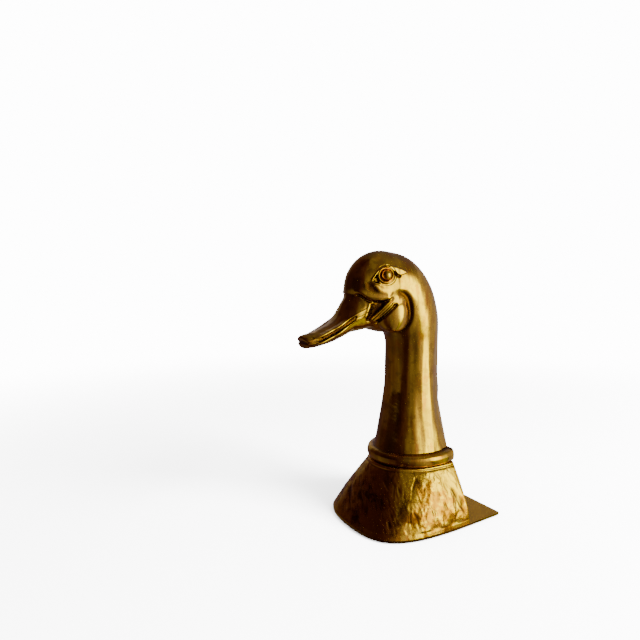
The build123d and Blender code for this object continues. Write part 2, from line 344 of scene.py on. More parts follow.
@dataclass(frozen=True)
class Bill:
    """The bill: an upper and a lower half with a slot between, from stations along its length.

    Attributes:
        forward: Distance of each station in front of the flat back.
        ridge: Height of the culmen at each station.
        edge: Height of the middle of the slot.
        keel: Height of the underside.
        width: Half width at the slot.
        under_inset: How much narrower the lower half is.
        powers: How full the sections of the upper and the lower half are.
        lean_root: How much less full the upper half is near the root, where, and its reach.
        tip_slants: How far the two tips lean back, per millimetre below tip_top, with tip_round on their edge.
        tip_step: How much shorter the lower half is.
        slope: The share of a height that is square to the slot.
        slot: Half height of the slot.
        slot_depth: How far the slot goes in.
        slot_shallow: Where the slot begins to deepen from half, and over what length.
        slot_ends: Where the slot begins and ends.
        lip: Radius of the rims beside the slot; lip_inset and lip_root say how far inside they lie and reach.
        lip_fades: Where the rims rise and end, each with its length.
        crease: Depth and half height of the shut crease beyond the slot, and its start.
    """

    forward: tuple[float, ...] = (
        52.0, 60.0, 66.0, 70.0, 74.0, 78.3, 81.5, 84.0, 86.5, 89.5, 93.0, 97.2, 104.0, 109.5, 113.5, 116.0,
        117.2,
    )
    ridge: tuple[float, ...] = (
        176.0, 178.0, 177.0, 174.5, 171.0, 167.2, 162.8, 157.6, 152.9, 149.7, 147.6, 145.7, 143.0, 141.9,
        141.0, 140.1, 139.3,
    )
    edge: tuple[float, ...] = (
        163.0, 160.5, 158.0, 156.4, 154.4, 152.6, 150.6, 149.0, 147.3, 145.4, 143.4, 141.4, 138.4, 136.9,
        136.1, 135.6, 135.3,
    )
    keel: tuple[float, ...] = (
        146.0, 145.0, 143.8, 143.0, 142.0, 140.9, 139.4, 138.3, 137.3, 136.1, 134.9, 133.8, 132.4, 131.8,
        131.9, 133.0, 134.0,
    )
    width: tuple[float, ...] = (
        12.0, 13.6, 14.2, 14.4, 14.3, 13.6, 12.7, 12.1, 11.7, 11.4, 10.9, 10.3, 9.6, 8.8, 7.6, 6.0, 4.6,
    )
    under_inset: float = 0.5
    powers: Spot = (1.75, 1.9)
    lean_root: Place = (0.36, 81.5, 4.5)
    tip_slants: Spot = (0.75, -0.35)
    tip_top: float = 140.2
    tip_step: float = 4.2
    tip_round: float = 1.6
    slope: float = 0.86
    slot: float = 1.25
    slot_depth: float = 3.0
    slot_shallow: Spot = (84.0, 10.0)
    slot_ends: Spot = (79.0, 106.5)
    lip: float = 0.85
    lip_inset: float = 0.55
    lip_root: float = 2.2
    lip_fades: tuple[Spot, Spot] = ((80.0, 12.0), (109.5, 6.0))
    crease: Place = (0.55, 0.75, 105.5)

    def size(self, name: str, forward: Array) -> Array:
        """One of the station sizes at given distances in front of the flat back."""
        return along_table(forward, self.forward, getattr(self, name))

    def slot_bottom(self, forward: Array) -> Array:
        """Half the bill's width at the bottom of the slot."""
        start, length = self.slot_shallow
        share = 0.5 + 0.5 * smooth_step((forward - start) / length)
        return self.size("width", forward) - self.slot_depth * share

    def half(self, points: Array, upper: bool) -> Array:
        """Measure how far points are from the upper or the lower half of the bill.

        Args:
            points: Points in millimetres.
            upper: True for the upper half.

        Returns:
            The distances.
        """
        forward = -points[..., 1]
        edge = self.size("edge", forward)
        width = self.size("width", forward) - (0.0 if upper else self.under_inset)
        far = self.size("ridge" if upper else "keel", forward)
        height = np.maximum(np.abs(far - edge), 1.0)
        rise = (points[..., 2] - edge) if upper else (edge - points[..., 2])
        lean, middle, reach = self.lean_root
        power = self.powers[0] - lean * bell(forward, middle, reach) if upper else self.powers[1]
        across = np.abs(points[..., 0]) / width
        above = np.where(rise > 0.0, rise / height, -rise / 2.0)
        total = (across**power + above**power) ** (1.0 / power) + TINY
        slope = total ** (1.0 - power) * np.sqrt(
            (across ** (power - 1.0) / width) ** 2 + (above ** (power - 1.0) / height) ** 2
        )
        near = (total - 1.0) / np.maximum(slope, 0.5 / np.maximum(width, height))
        slant = np.clip(self.tip_top - points[..., 2], 0.0, 5.0) * self.tip_slants[0 if upper else 1]
        tip = self.forward[-1] - slant - (0.0 if upper else self.tip_step)
        ends = np.maximum((forward - tip) * 0.8, 40.0 - forward)
        return -soft_union(-near * 0.85, -ends, self.tip_round)

    def distance(self, points: Array) -> Array:
        """Measure how far points are from the bill, with its slot and rims.

        Args:
            points: Points in millimetres.

        Returns:
            The distances.
        """
        forward = -points[..., 1]
        out = np.abs(points[..., 0])
        edge = self.size("edge", forward)
        width = self.size("width", forward)
        level = (points[..., 2] - edge) * self.slope
        body = soft_union(self.half(points, True), self.half(points, False), 0.8)
        (root, rising), (front, falling) = self.lip_fades
        fade = smooth_step((front - forward) / falling) * smooth_step((forward - root) / rising)
        beside = out - (width - self.lip_inset)
        beside = np.where(beside < 0.0, np.minimum(beside + self.lip_root, 0.0), beside)
        for side in (1.0, -1.0):
            rim = np.hypot(beside, level - side * (self.slot + self.lip * 0.75))
            rim = np.maximum(rim - self.lip * fade, forward - (front - 0.5))
            body = soft_union(body, rim, 0.9)
        begin = np.minimum(forward - self.slot_ends[0] - self.slot, 0.0)
        end = np.maximum(forward - self.slot_ends[1] + self.slot, 0.0)
        start = np.hypot(begin - end, level) - self.slot
        cut = np.maximum(np.maximum(np.abs(level) - self.slot, start), self.slot_bottom(forward) - out)
        depth, half, begins = self.crease
        crease = depth * np.exp(-((level / half) ** 2)) * smooth_step((forward - begins) / 3.0)
        return soft_cut(body, cut, 0.5) + crease


@dataclass(frozen=True)
class Neck:
    """The upright tube that widens from a round waist down to its oval root.

    Attributes:
        radius: Radius of the waist.
        waist: Height where the widening begins.
        fall: How far below the waist the root lies.
        power: How suddenly the tube widens.
        spread: How much wider the root is across and along, and how far it moves forwards.
        top: Height where the tube ends inside the head.
        taper: How far the tube draws in at its end, and over what height.
        bow: Where the tube starts to bow, over what height, and how far.
        fullness: How far the waist stands out beside the flat back.
        full_at: Where round the tube that is, in radians, and its reach.
        waves: Shallow waves left by the file: count round the tube, climb, start and size.
    """

    radius: float = 19.4
    waist: float = 112.0
    fall: float = 60.5
    power: float = 1.9
    spread: Place = (6.35, 11.9, 2.2)
    top: float = 170.0
    taper: Spot = (4.0, 20.0)
    bow: Place = (128.0, 40.0, 4.8)
    fullness: float = 1.3
    full_at: Spot = (1.02, 0.32)
    waves: tuple[tuple[float, float, float, float], ...] = (
        (6.0, 0.045, 0.4, 0.13), (10.0, -0.06, 2.1, 0.09), (15.0, 0.05, 4.0, 0.06),
        (22.0, -0.035, 1.0, 0.03), (2.0, 0.16, 0.7, 0.10), (4.0, -0.29, 3.0, 0.06),
    )

    def section(self, height: Array) -> tuple[Array, Array, Array]:
        """Find the tube's section.

        Args:
            height: Heights in millimetres.

        Returns:
            The half width, the half depth and the setback of the middle at each height.
        """
        share = np.clip((self.waist - height) / self.fall, 0.0, 1.0) ** self.power
        across = self.radius + self.spread[0] * share
        along = self.radius + self.spread[1] * share
        return across, along, self.radius - 0.2 - self.spread[2] * share**1.6

    def back_half(self, height: Array, setback: float) -> Array:
        """The tube's half width in the plane that lies setback in front of the flat back."""
        across, along, middle = self.section(height)
        return across * np.sqrt(np.clip(1.0 - ((middle - setback) / along) ** 2, 0.0, 1.0))

    def distance(self, points: Array) -> Array:
        """Measure how far points are from the tube.

        Args:
            points: Points in millimetres.

        Returns:
            The distances.
        """
        height = points[..., 2]
        across, along, middle = self.section(height)
        start, over, size = self.bow
        beside = points[..., 1] + middle + np.clip((height - start) / over, 0.0, None) ** 2 * size
        ring = np.hypot(points[..., 0] / across, beside / along)
        turn = np.arctan2(beside, points[..., 0])
        side = (ring - 1.0) * np.minimum(across, along)
        side = side + self.taper[0] * smooth_step((height - self.top + self.taper[1]) / self.taper[1])
        full = smooth_step((height - 86.0) / 12.0) * smooth_step((160.0 - height) / 16.0)
        side = side - self.fullness * full * np.exp(-(((turn - self.full_at[0]) / self.full_at[1]) ** 2))
        for count, climb, start, size in self.waves:
            side += size * np.sin(count * turn + climb * height + start)
        return np.maximum(side, height - self.top)


@dataclass(frozen=True)
class Clay:
    """The whole head and neck as distances in millimetres, drawn on one side and mirrored.

    Attributes:
        bill: The bill.
        neck: The neck.
        sheet: The sheet that the face is drawn on.
        masses: The skull, the nape and the throat, joined in order after the neck.
        cheeks: The round cheeks beside the throat, joined after the bill.
        marks: The face: eye, brow, bone, mouth corner and cheek.
        stains: Painted shade in front of the eye, at the mouth corner, behind the cheek and behind the eye.
        jaw: Height above which the head's forms are joined.
        bill_from: How far forwards and how low the bill counts.
        bill_seam: Width of the seam between bill and head.
        face_from: Where the face begins and ends in front of the flat back.
        face_side: Distance from the middle plane where it begins.
        plate_top: Height where the back plate ends.
        plate_room: How far the back is set in for the plate.
        back_round: Rounding of the back's edge, the height where it begins, and its run.
    """

    bill: Bill = Bill()
    neck: Neck = Neck()
    sheet: SightSheet = SightSheet()
    masses: tuple[Mass, ...] = (
        Mass((0.0, -47.7, 169.9), (19.8, 31.4, 29.6), pitch=-0.40, blend=4.5),
        Mass((0.0, -25.9, 160.0), (22.3, 23.7, 39.4), pitch=0.40, blend=4.5),
        Mass((0.0, -62.0, 154.6), (13.2, 25.0, 10.2), pitch=0.30, blend=3.0),
    )
    cheeks: tuple[Mass, ...] = (Mass((13.2, -46.8, 153.6), (8.3, 13.4, 13.2), swing=-0.25, blend=1.4),)
    marks: tuple[Line | Patch, ...] = (
        Line(((2.6, -14.8), (5.6, -12.9), (9.6, -12.2), (13.4, -14.4), (15.6, -19.4), (15.7, -26.0),
            (13.9, -32.4), (10.2, -37.4), (5.6, -40.4)), Tool.SINK, 2.3, 1.7, fade=0.34),
        Patch(((-13.7, -5.1), (-10.8, -5.0), (-7.5, -8.2), (-6.0, -11.1), (-9.3, -11.8), (-12.7, -9.4)),
            Tool.SINK, 0.7, 3.6),
        Line(((-10.3, -4.6), (-7.0, -8.6), (-3.9, -11.1), (1.5, -12.5), (4.6, -13.7)),
            Tool.RAISE, 1.7, 0.5),
        Line(((-23.3, -11.7), (-18.2, -12.0), (-13.9, -14.2), (-9.6, -15.3), (-4.5, -15.6), (0.7, -15.3),
            (3.7, -14.4)), Tool.RAISE, 1.8, 0.8),
        Line(((-23.3, -13.4), (-18.2, -14.1), (-14.1, -17.0), (-10.5, -18.3), (-6.2, -18.8), (-1.0, -18.2),
            (2.4, -17.0)), Tool.SINK, 1.0, 1.2),
        Patch(((-10.0, -20.2), (-6.2, -18.4), (-2.1, -19.2), (-3.4, -22.1), (-7.0, -25.6), (-11.1, -29.7),
            (-13.5, -30.9), (-11.7, -26.0), (-10.1, -22.6)), Tool.SINK, 2.2, 3.0),
        Line(((-11.3, -18.3), (-12.0, -22.1), (-12.9, -26.0), (-14.7, -30.7)), Tool.RAISE, 1.2, 0.5),
        Line(((4.8, -14.2), (2.7, -17.8), (-0.7, -21.6), (-4.3, -25.0), (-9.3, -29.7), (-12.2, -31.7)),
            Tool.RAISE, 1.15, 1.3),
        Line(((6.3, -17.5), (3.6, -21.3), (-0.5, -25.4), (-5.8, -29.8), (-10.3, -32.9)),
            Tool.RAISE, 0.6, 0.5),
        Line(((7.7, -18.9), (5.0, -22.3), (0.9, -26.4), (-3.9, -30.4), (-8.9, -33.4)), Tool.SINK, 0.9, 1.2),
        Line(circle(6.6, 30), Tool.SINK, 0.8, 0.30, closed=True),
        Patch(((-1.6, 5.9), (1.6, 6.5), (5.0, 6.0), (9.3, 4.7), (14.1, 2.4), (12.7, 0.9), (9.7, 0.3),
            (7.2, 1.4), (5.2, 3.0), (2.4, 4.9)), Tool.RAISE, 2.3, 0.9, lean=0.75),
        Line(((-10.6, -3.7), (-8.9, -1.7), (-7.0, 0.9), (-5.1, 3.6), (-2.1, 5.7), (1.5, 6.2)),
            Tool.RAISE, 0.6, 0.9),
        Line(((4.6, 3.0), (6.4, 1.1), (8.4, -0.5), (10.6, -0.6)), Tool.SINK, 0.8, 1.0, fade=0.3),
        Patch(((-8.9, -2.9), (-6.2, -0.1), (-5.5, -1.7), (-5.1, -4.3), (-6.7, -5.0), (-8.2, -4.3)),
            Tool.SINK, 1.5, 1.2),
        Line(((-11.3, -3.9), (-8.9, -5.0), (-6.2, -6.0), (-3.6, -6.5)), Tool.RAISE, 0.6, 0.6),
        Line(circle(5.1, 30), Tool.RAISE, 0.62, 0.95, closed=True),
        Patch(circle(3.9, 36), Tool.SINK, 2.2, 0.9),
    )
    # Painted shade: darker patches drawn on the face in front of the eye, at the mouth corner, in the groove
    # behind the cheek and behind the eye.
    stains: tuple[Line | Patch, ...] = (
        Patch(((-15.0, -4.0), (-10.8, -4.8), (-7.4, -8.0), (-5.6, -11.4), (-9.3, -12.8), (-13.5, -10.8),
            (-17.0, -7.5)), Tool.SINK, 0.75, 4.5),
        Patch(((-10.5, -19.0), (-3.5, -17.5), (-4.0, -22.1), (-11.0, -29.0)), Tool.SINK, 0.35, 3.5),
        Line(((5.6, -12.6), (9.6, -11.9), (13.6, -14.4), (16.0, -19.4), (16.4, -26.0), (14.6, -32.4)),
            Tool.SINK, 2.6, 0.45),
        Line(((4.6, 3.0), (6.6, 1.2), (9.0, -0.4), (11.4, -0.6)), Tool.SINK, 1.1, 0.6),
    )
    jaw: float = 118.0
    bill_from: Spot = (40.0, 185.0)
    bill_seam: float = 2.2
    face_from: Spot = (18.0, 100.0)
    face_side: float = 3.0
    plate_top: float = 96.0
    plate_room: float = 1.6
    back_round: Place = (3.0, 99.0, 14.0)

    def on_face(self, points: Array) -> Array:
        """Whether points lie where the face is drawn."""
        start, end = self.face_from
        return (points[:, 1] < -start) & (points[:, 1] > -end) & (points[:, 0] > self.face_side)

    def distance(self, points: Array) -> Array:
        """Measure how far points are from the surface.

        Args:
            points: Points whose last axis is x, y, z, in millimetres.

        Returns:
            One distance for each point, below zero inside.
        """
        near = points.copy()
        near[..., 0] = np.abs(near[..., 0])
        body = self.neck.distance(near)
        high = near[..., 2] > self.jaw
        head = near[high]
        part = body[high]
        for mass in self.masses:
            part = soft_union(part, mass.distance(head), mass.blend)
        fore = (head[:, 1] < -self.bill_from[0]) & (head[:, 2] < self.bill_from[1])
        part[fore] = soft_union(part[fore], self.bill.distance(head[fore]), self.bill_seam)
        for mass in self.cheeks:
            part = soft_union(part, mass.distance(head), mass.blend)
        drawn = (np.abs(part) < 5.0) & self.on_face(head)
        part[drawn] += self.drawn(head[drawn])
        body[high] = part
        flat = near[..., 1] + np.where(near[..., 2] > self.plate_top, 0.0, self.plate_room)
        widest, start, run = self.back_round
        round_off = 0.01 + widest * smooth_step((near[..., 2] - start) / run)
        share = np.clip(0.5 + 0.5 * (body - flat) / round_off, 0.0, 1.0)
        return flat + (body - flat) * share + round_off * share * (1.0 - share)

    def drawn(self, points: Array) -> Array:
        """Add up the marks.

        Args:
            points: Points of the face, in millimetres.

        Returns:
            How far the marks press in (above zero) or raise (below zero) the clay.
        """
        flat = self.sheet.flat(points)
        move = np.zeros(len(flat))
        for mark in self.marks:
            spots = np.array(mark.spots)
            low, top = spots.min(0) - 5.0, spots.max(0) + 5.0
            touched = ((flat > low) & (flat < top)).all(-1)
            if touched.any():
                move[touched] += mark.mark(flat[touched])
        return move * smooth_step((points[:, 0] - self.face_side) / 4.0)

    def slopes(self, points: Array, step: float = 0.06) -> Array:
        """Which way the distance grows fastest at each point, not scaled to length 1."""
        rises = [self.distance(points + move) - self.distance(points - move) for move in step * np.eye(3)]
        return np.stack(rises, -1) / (2.0 * step)

    def settle(self, points: Array, rounds: int) -> Array:
        """Move points onto the surface by short steps along the slope.

        Args:
            points: Points near the surface, in millimetres.
            rounds: How many steps each takes.

        Returns:
            The moved points.
        """
        for _ in range(rounds):
            slope = self.slopes(points)
            size = np.maximum((slope**2).sum(-1), 0.05)
            shift = (self.distance(points) / size)[:, None] * slope
            length = np.linalg.norm(shift, axis=1, keepdims=True)
            points = points - shift * np.minimum(1.0, 0.35 / np.maximum(length, TINY))
        return points

    def hollows(self, points: Array, normals: Array) -> Array:
        """Find where tarnish gathers.

        Args:
            points: Points on the surface, in millimetres.
            normals: The surface's direction at each.

        Returns:
            From 0 in the open to 1 in a crease; pressed marks and stains on the face add painted shade.
        """
        closed = np.zeros(len(points))
        for reach in (0.8, 1.8, 4.0, 8.0):
            room = self.distance(points + reach * normals)
            closed += np.clip(1.0 - room / reach, 0.0, 1.0)
        near = points.copy()
        near[:, 0] = np.abs(near[:, 0])
        closed *= smooth_step((-1.8 - near[:, 1]) / 3.0 + (near[:, 2] > 98.0))
        face = self.on_face(near) & (near[:, 2] > self.jaw)
        # Painted shade: the face's pressed marks darken with their depth.
        pressed_shade = np.zeros(len(points))
        pressed_shade[face] = np.clip((self.drawn(near[face]) - 0.3) / 1.8, 0.0, 1.0)
        # Painted shade: the stains add darker patches on the face.
        painted_shade = np.zeros(len(points))
        flat = self.sheet.flat(near[face])
        painted_shade[face] = sum(np.abs(stain.mark(flat)) for stain in self.stains)
        return np.clip(closed / 2.2 + 0.45 * pressed_shade + painted_shade, 0.0, 1.0)


def net_faces(inside: Array, number: Array) -> Array:
    """Join a net's points where the surface crosses a grid line.

    Args:
        inside: Which grid points lie inside the surface.
        number: The number of each cell's point, or -1 where it has none.

    Returns:
        Four-sided faces, wound outwards.
    """
    faces = []
    for axis in range(3):
        first, second = (axis + 1) % 3, (axis + 2) % 3
        ahead = [slice(None)] * 3
        behind = [slice(None)] * 3
        ahead[axis], behind[axis] = slice(1, None), slice(None, -1)
        change = inside[tuple(behind)].astype(np.int8) - inside[tuple(ahead)].astype(np.int8)
        edges = np.argwhere(change != 0)
        beside = edges[:, [first, second]]
        edges = edges[((beside > 0) & (beside < [number.shape[first], number.shape[second]])).all(1)]
        sign = change[tuple(edges.T)]
        ring = []
        for shift_first, shift_second in ((0, 0), (1, 0), (1, 1), (0, 1)):
            cell = edges.copy()
            cell[:, first] -= 1 - shift_first
            cell[:, second] -= 1 - shift_second
            ring.append(number[tuple(cell.T)])
        quads = np.stack(ring, 1)
        quads[sign < 0] = quads[sign < 0][:, ::-1]
        faces.append(quads)
    return np.concatenate(faces)


def net_over(field: Field, axes: Sequence[Array]) -> tuple[Array, Array]:
    """Lay a net of four-sided faces over the surface where a mirrored field is zero.

    Args:
        field: Distances from points.
        axes: Grid lines along x from the middle plane outwards, along y, and along z.

    Returns:
        The net's points and its faces, wound outwards.
    """
    grid = np.stack(np.meshgrid(*axes, indexing="ij"), -1)
    half = np.empty(grid.shape[:3])
    for index in range(0, len(axes[0]), 4):
        half[index : index + 4] = field(grid[index : index + 4])
    values = np.concatenate([half[:0:-1], half], 0)
    lines = [np.concatenate([-axes[0][:0:-1], axes[0]]), axes[1], axes[2]]
    inside = values < 0.0
    wide, long, tall = (size - 1 for size in inside.shape)
    around = list(itertools.product((0, 1), repeat=3))
    counts = sum(inside[i : i + wide, j : j + long, k : k + tall].astype(np.int8) for i, j, k in around)
    cells = np.argwhere((counts > 0) & (counts < 8))
    number = np.full(counts.shape, -1, np.int64)
    number[tuple(cells.T)] = np.arange(len(cells))
    total = np.zeros((len(cells), 3))
    hits = np.zeros(len(cells))
    corners = {corner: values[tuple((cells + corner).T)] for corner in around}
    for corner, value in corners.items():
        for axis in range(3):
            if corner[axis]:
                continue
            beyond = corners[tuple(c + (a == axis) for a, c in enumerate(corner))]
            crossed = (value < 0.0) != (beyond < 0.0)
            share = np.where(crossed, value / np.where(crossed, value - beyond, 1.0), 0.0)
            spot = np.tile(np.array(corner, float), (len(cells), 1))
            spot[:, axis] = share
            total += np.where(crossed[:, None], spot, 0.0)
            hits += crossed
    local = total / hits[:, None]
    points = np.empty((len(cells), 3))
    for axis in range(3):
        low = lines[axis][cells[:, axis]]
        high = lines[axis][cells[:, axis] + 1]
        points[:, axis] = low + local[:, axis] * (high - low)
    return points, net_faces(inside, number)


class Tree:
    """A short way to write a node tree."""

    def __init__(self, tree: bpy.types.NodeTree) -> None:
        """Take the tree that is written."""
        self.tree = tree

    def link(self, value: object, socket: Socket) -> None:
        """Join a node's output to a socket, or write a plain value into it.

        Args:
            value: A socket, or a value of the kind that the socket takes.
            socket: The socket that gets it.
        """
        if isinstance(value, Socket):
            self.tree.links.new(value, socket)
        else:
            socket.default_value = value

    def node(self, kind: str, *values: object, how: Sequence[tuple[str, str]] = (), **inputs: object) -> Node:
        """Add a node and fill its inputs.

        Args:
            kind: The node's type.
            values: Values or sockets for its first inputs, in order.
            how: Choices of the node, each with its name.
            inputs: Values or sockets, by input name with spaces as underscores.

        Returns:
            The node.
        """
        node = self.tree.nodes.new(kind)
        for key, choice in how:
            setattr(node, key, choice)
        for value, socket in zip(values, node.inputs):
            self.link(value, socket)
        for key, value in inputs.items():
            self.link(value, node.inputs[key.replace("_", " ")])
        return node

    def math(self, kind: str, first: object, second: object = 0.0, third: object = 0.0) -> Socket:
        """Work out a sum by a Math node's operation."""
        return self.node("ShaderNodeMath", first, second, third, how=(("operation", kind),)).outputs[0]

    def vector(self, x: object = 0.0, y: object = 0.0, z: object = 0.0) -> Socket:
        """A vector from three values."""
        return self.node("ShaderNodeCombineXYZ", x, y, z).outputs[0]

    def ramp(self, value: object, low: float, high: float) -> Socket:
        """Ease from 0 where value is low to 1 where it is high."""
        how = (("interpolation_type", "SMOOTHSTEP"),)
        return self.node("ShaderNodeMapRange", value, low, high, how=how).outputs["Result"]

    def blend(self, share: object, first: object, second: object) -> Socket:
        """Blend two colours.

        Args:
            share: 0 for the first colour and 1 for the second.
            first: The first colour, as red, green and blue or as a socket.
            second: The second colour.

        Returns:
            The blended colour.
        """
        node = self.node("ShaderNodeMix", share, how=(("data_type", "RGBA"),))
        for value, socket in zip((first, second), node.inputs[6:8]):
            self.link((*value, 1.0) if isinstance(value, tuple) else value, socket)
        return node.outputs[2]

    def mixed(self, share: object, first: Node, second: Node) -> Node:
        """Mix two shaders: first where share is 0, second where it is 1."""
        return self.node("ShaderNodeMixShader", share, first.outputs[0], second.outputs[0])


@dataclass(frozen=True)
class Cloud:
    """Noise over a piece.

    Attributes:
        scale: Clouds to the metre: one number, or one each for X, Y and Z to draw them out.
        detail: How many finer layers it has.
        rough: How strong the finer layers are.
        turn: How far drawn-out clouds are turned, in radians.
        cells: Whether it is rounded cells, as on a hammered face, in place of clouds.
    """

    scale: float | Place
    detail: float = 3.0
    rough: float = 0.55
    turn: Place = (0.0, 0.0, 0.0)
    cells: bool = False


@dataclass(frozen=True)
class Stain:
    """A colour that comes in where clouds or hollows are strong.

    Attributes:
        colour: The colour.
        amount: How much of it there is where it is full.
        low: The strength at which it begins, and high where it is full.
        clouds: The clouds that are added up, each with its weight.
        hollow: The weight of the piece's hollows in that sum.
        least: How much of the colour there is everywhere.
        satin: How much rougher the metal is where the stain is full.
    """

    colour: Place
    amount: float
    low: float
    high: float
    clouds: tuple[tuple[Cloud, float], ...] = ()
    hollow: float = 0.0
    least: float = 0.0
    satin: float = 0.0


class Paint(Tree):
    """A material's node tree, with a Principled shader before its output."""

    def __init__(self, name: str) -> None:
        """Start a material.

        Args:
            name: The material's name.
        """
        self.material = bpy.data.materials.new(name)
        self.material.use_nodes = True
        super().__init__(self.material.node_tree)
        self.tree.nodes.clear()
        self.shader = self.node("ShaderNodeBsdfPrincipled")
        self.output = self.node("ShaderNodeOutputMaterial", self.shader.outputs["BSDF"])
        self.place = self.node("ShaderNodeTexCoord").outputs["Object"]
        self.made: dict[Cloud, Socket] = {}

    def cloud(self, cloud: Cloud) -> Socket:
        """Lay a cloud over the piece, once for each kind.

        Args:
            cloud: The cloud.

        Returns:
            Its strength, from 0 to 1.
        """
        if cloud not in self.made:
            place, scale = self.place, cloud.scale
            if isinstance(scale, tuple):
                turned = self.node("ShaderNodeMapping", Vector=place, Scale=scale, Rotation=cloud.turn)
                place, scale = turned.outputs[0], 1.0
            if cloud.cells:
                node = self.node("ShaderNodeTexVoronoi", Vector=place, Scale=scale)
                node.feature = "SMOOTH_F1"
                self.made[cloud] = node.outputs["Distance"]
            else:
                node = self.node("ShaderNodeTexNoise", Vector=place, Scale=scale, Detail=cloud.detail)
                node.inputs["Roughness"].default_value = cloud.rough
                self.made[cloud] = node.outputs["Fac"]
        return self.made[cloud]

    def strength(self, stain: Stain) -> Socket:
        """Add up a stain's clouds and hollows.

        Args:
            stain: The stain.

        Returns:
            How full it is, from 0 to 1.
        """
        total = 0.0
        for cloud, weight in stain.clouds:
            total = self.math("MULTIPLY_ADD", self.cloud(cloud), weight, total)
        if stain.hollow:
            layer = self.node("ShaderNodeAttribute", how=(("attribute_name", "hollow"),))
            total = self.math("MULTIPLY_ADD", layer.outputs["Fac"], stain.hollow, total)
        return self.ramp(total, stain.low, stain.high)

    def edges(self, axis: int) -> Socket:
        """Find a sheet's edges.

        Args:
            axis: The axis along which its broad faces look: 1 for Y and 2 for Z.

        Returns:
            1 on the edges and 0 on the broad faces.
        """
        geometry = self.node("ShaderNodeNewGeometry")
        parts = self.node("ShaderNodeSeparateXYZ", geometry.outputs["True Normal"])
        broad = self.ramp(self.math("ABSOLUTE", parts.outputs[axis]), 0.5, 0.9)
        return self.math("SUBTRACT", 1.0, broad)

    def fill(self, **inputs: object) -> None:
        """Fill the shader's inputs, by name with spaces as underscores."""
        for key, value in inputs.items():
            self.link(value, self.shader.inputs[key.replace("_", " ")])


@dataclass(frozen=True)
class Brass:
    """Colours of old brass, as linear red, green and blue.

    Attributes:
        bright: Rubbed metal.
        olive: Metal under a thin dull skin.
        brown: Old tarnish in hollows, and the painted shade on the head's face.
        copper: Reddish stains.
    """

    bright: Place = (0.93, 0.53, 0.045)
    olive: Place = (0.50, 0.27, 0.035)
    brown: Place = (0.13, 0.036, 0.008)
    copper: Place = (0.60, 0.20, 0.030)


@dataclass(frozen=True)
class Finish:
    """How a surface is coloured, worn and felt.

    Attributes:
        name: The material's name.
        ground: The colour below all stains.
        stains: The stains, in order.
        roughness: How satin it is where nothing adds to that.
        grain: The cloud that the roughness follows, and how far.
        reliefs: Clouds that stand up, each with how much it is felt and its height in metres.
        face: The axis along which a sheet's broad faces look, or None where it isn't a sheet.
        metal: 1 for metal and 0 for anything else.
        sheen: How much sheen its fibres give, and how rough that is.
    """

    name: str = "brass"
    ground: Place = Brass.bright
    stains: tuple[Stain, ...] = ()
    roughness: float = 0.2
    grain: tuple[Cloud, float] = (Cloud(1.0), 0.0)
    reliefs: tuple[tuple[Cloud, float, float], ...] = ()
    face: int | None = None
    metal: float = 1.0
    sheen: Spot = (0.0, 0.5)

    def material(self) -> Material:
        """Build the material.

        Returns:
            The material.
        """
        paint = Paint(self.name)
        colour, rough, relief = self.ground, self.roughness, None
        for stain in self.stains:
            full = paint.strength(stain)
            share = paint.math("MULTIPLY_ADD", full, stain.amount, stain.least)
            colour = paint.blend(share, colour, stain.colour)
            if stain.satin:
                rough = paint.math("MULTIPLY_ADD", full, stain.satin, rough)
        if self.face is not None:
            colour = paint.blend(paint.math("MULTIPLY", paint.edges(self.face), 0.8), colour, Brass.brown)
        if self.grain[1]:
            rough = paint.math("MULTIPLY_ADD", paint.cloud(self.grain[0]), self.grain[1], rough)
        for cloud, strength, height in self.reliefs:
            bump = paint.node("ShaderNodeBump", Strength=strength, Distance=height, Height=paint.cloud(cloud))
            if relief is not None:
                paint.link(relief, bump.inputs["Normal"])
            relief = bump.outputs["Normal"]
        paint.fill(Base_Color=colour, Roughness=rough, Metallic=self.metal, Normal=relief,
                   Sheen_Weight=self.sheen[0], Sheen_Roughness=self.sheen[1])
        return paint.material


@dataclass(frozen=True)
class PolishedBrass(Finish):
    """The cast head, neck and collar: rubbed by hand, dull in broad clouds and dark in the hollows."""

    name: str = "polished_brass"
    stains: tuple[Stain, ...] = (
        Stain(
            Brass.olive, 0.8, 0.80, 1.08,
            ((Cloud(26.0), 1.0), (Cloud((150.0, 150.0, 11.0), 4.0, 0.6), 0.8)), satin=0.05,
        ),
        Stain(Brass.copper, 0.45, 0.74, 0.90, ((Cloud(52.0, 4.0), 1.0), (Cloud(240.0, 2.0), 0.35))),
        Stain(
            Brass.copper, 0.55, 0.54, 0.70, ((Cloud((95.0, 95.0, 13.0), 4.0, 0.62, (0.05, 0.0, 1.7)), 1.0),),
        ),
        Stain(Brass.olive, 0.7, 0.50, 0.62, ((Cloud(150.0, 5.0, 0.68), 1.0),)),
        Stain(Brass.copper, 0.6, 0.55, 0.68, ((Cloud((120.0, 120.0, 48.0), 4.0, 0.62), 1.0),)),
        Stain(Brass.brown, 0.7, 0.67, 0.73, ((Cloud(620.0, 3.0, 0.6), 1.0),)),
        # Brown where the hollow attribute is high: tarnish in the creases and painted shade on the face.
        Stain(Brass.brown, 0.93, 0.34, 0.95, ((Cloud(240.0, 2.0), 0.25),), hollow=1.0, satin=0.25),
    )
    roughness: float = 0.085
    grain: tuple[Cloud, float] = (Cloud(420.0), 0.07)
    reliefs: tuple[tuple[Cloud, float, float], ...] = (
        (Cloud(62.0, 1.0), 0.5, 0.0007),
        (Cloud(190.0, 2.0), 0.4, 0.00022),
        (Cloud((135.0, 135.0, 17.0), 1.5), 0.5, 0.0010),
        (Cloud(520.0, 2.0), 0.07, 0.0002),
        (Cloud((1500.0, 1500.0, 90.0), 2.0, turn=(0.25, 0.1, 0.0)), 0.05, 0.0001),
    )


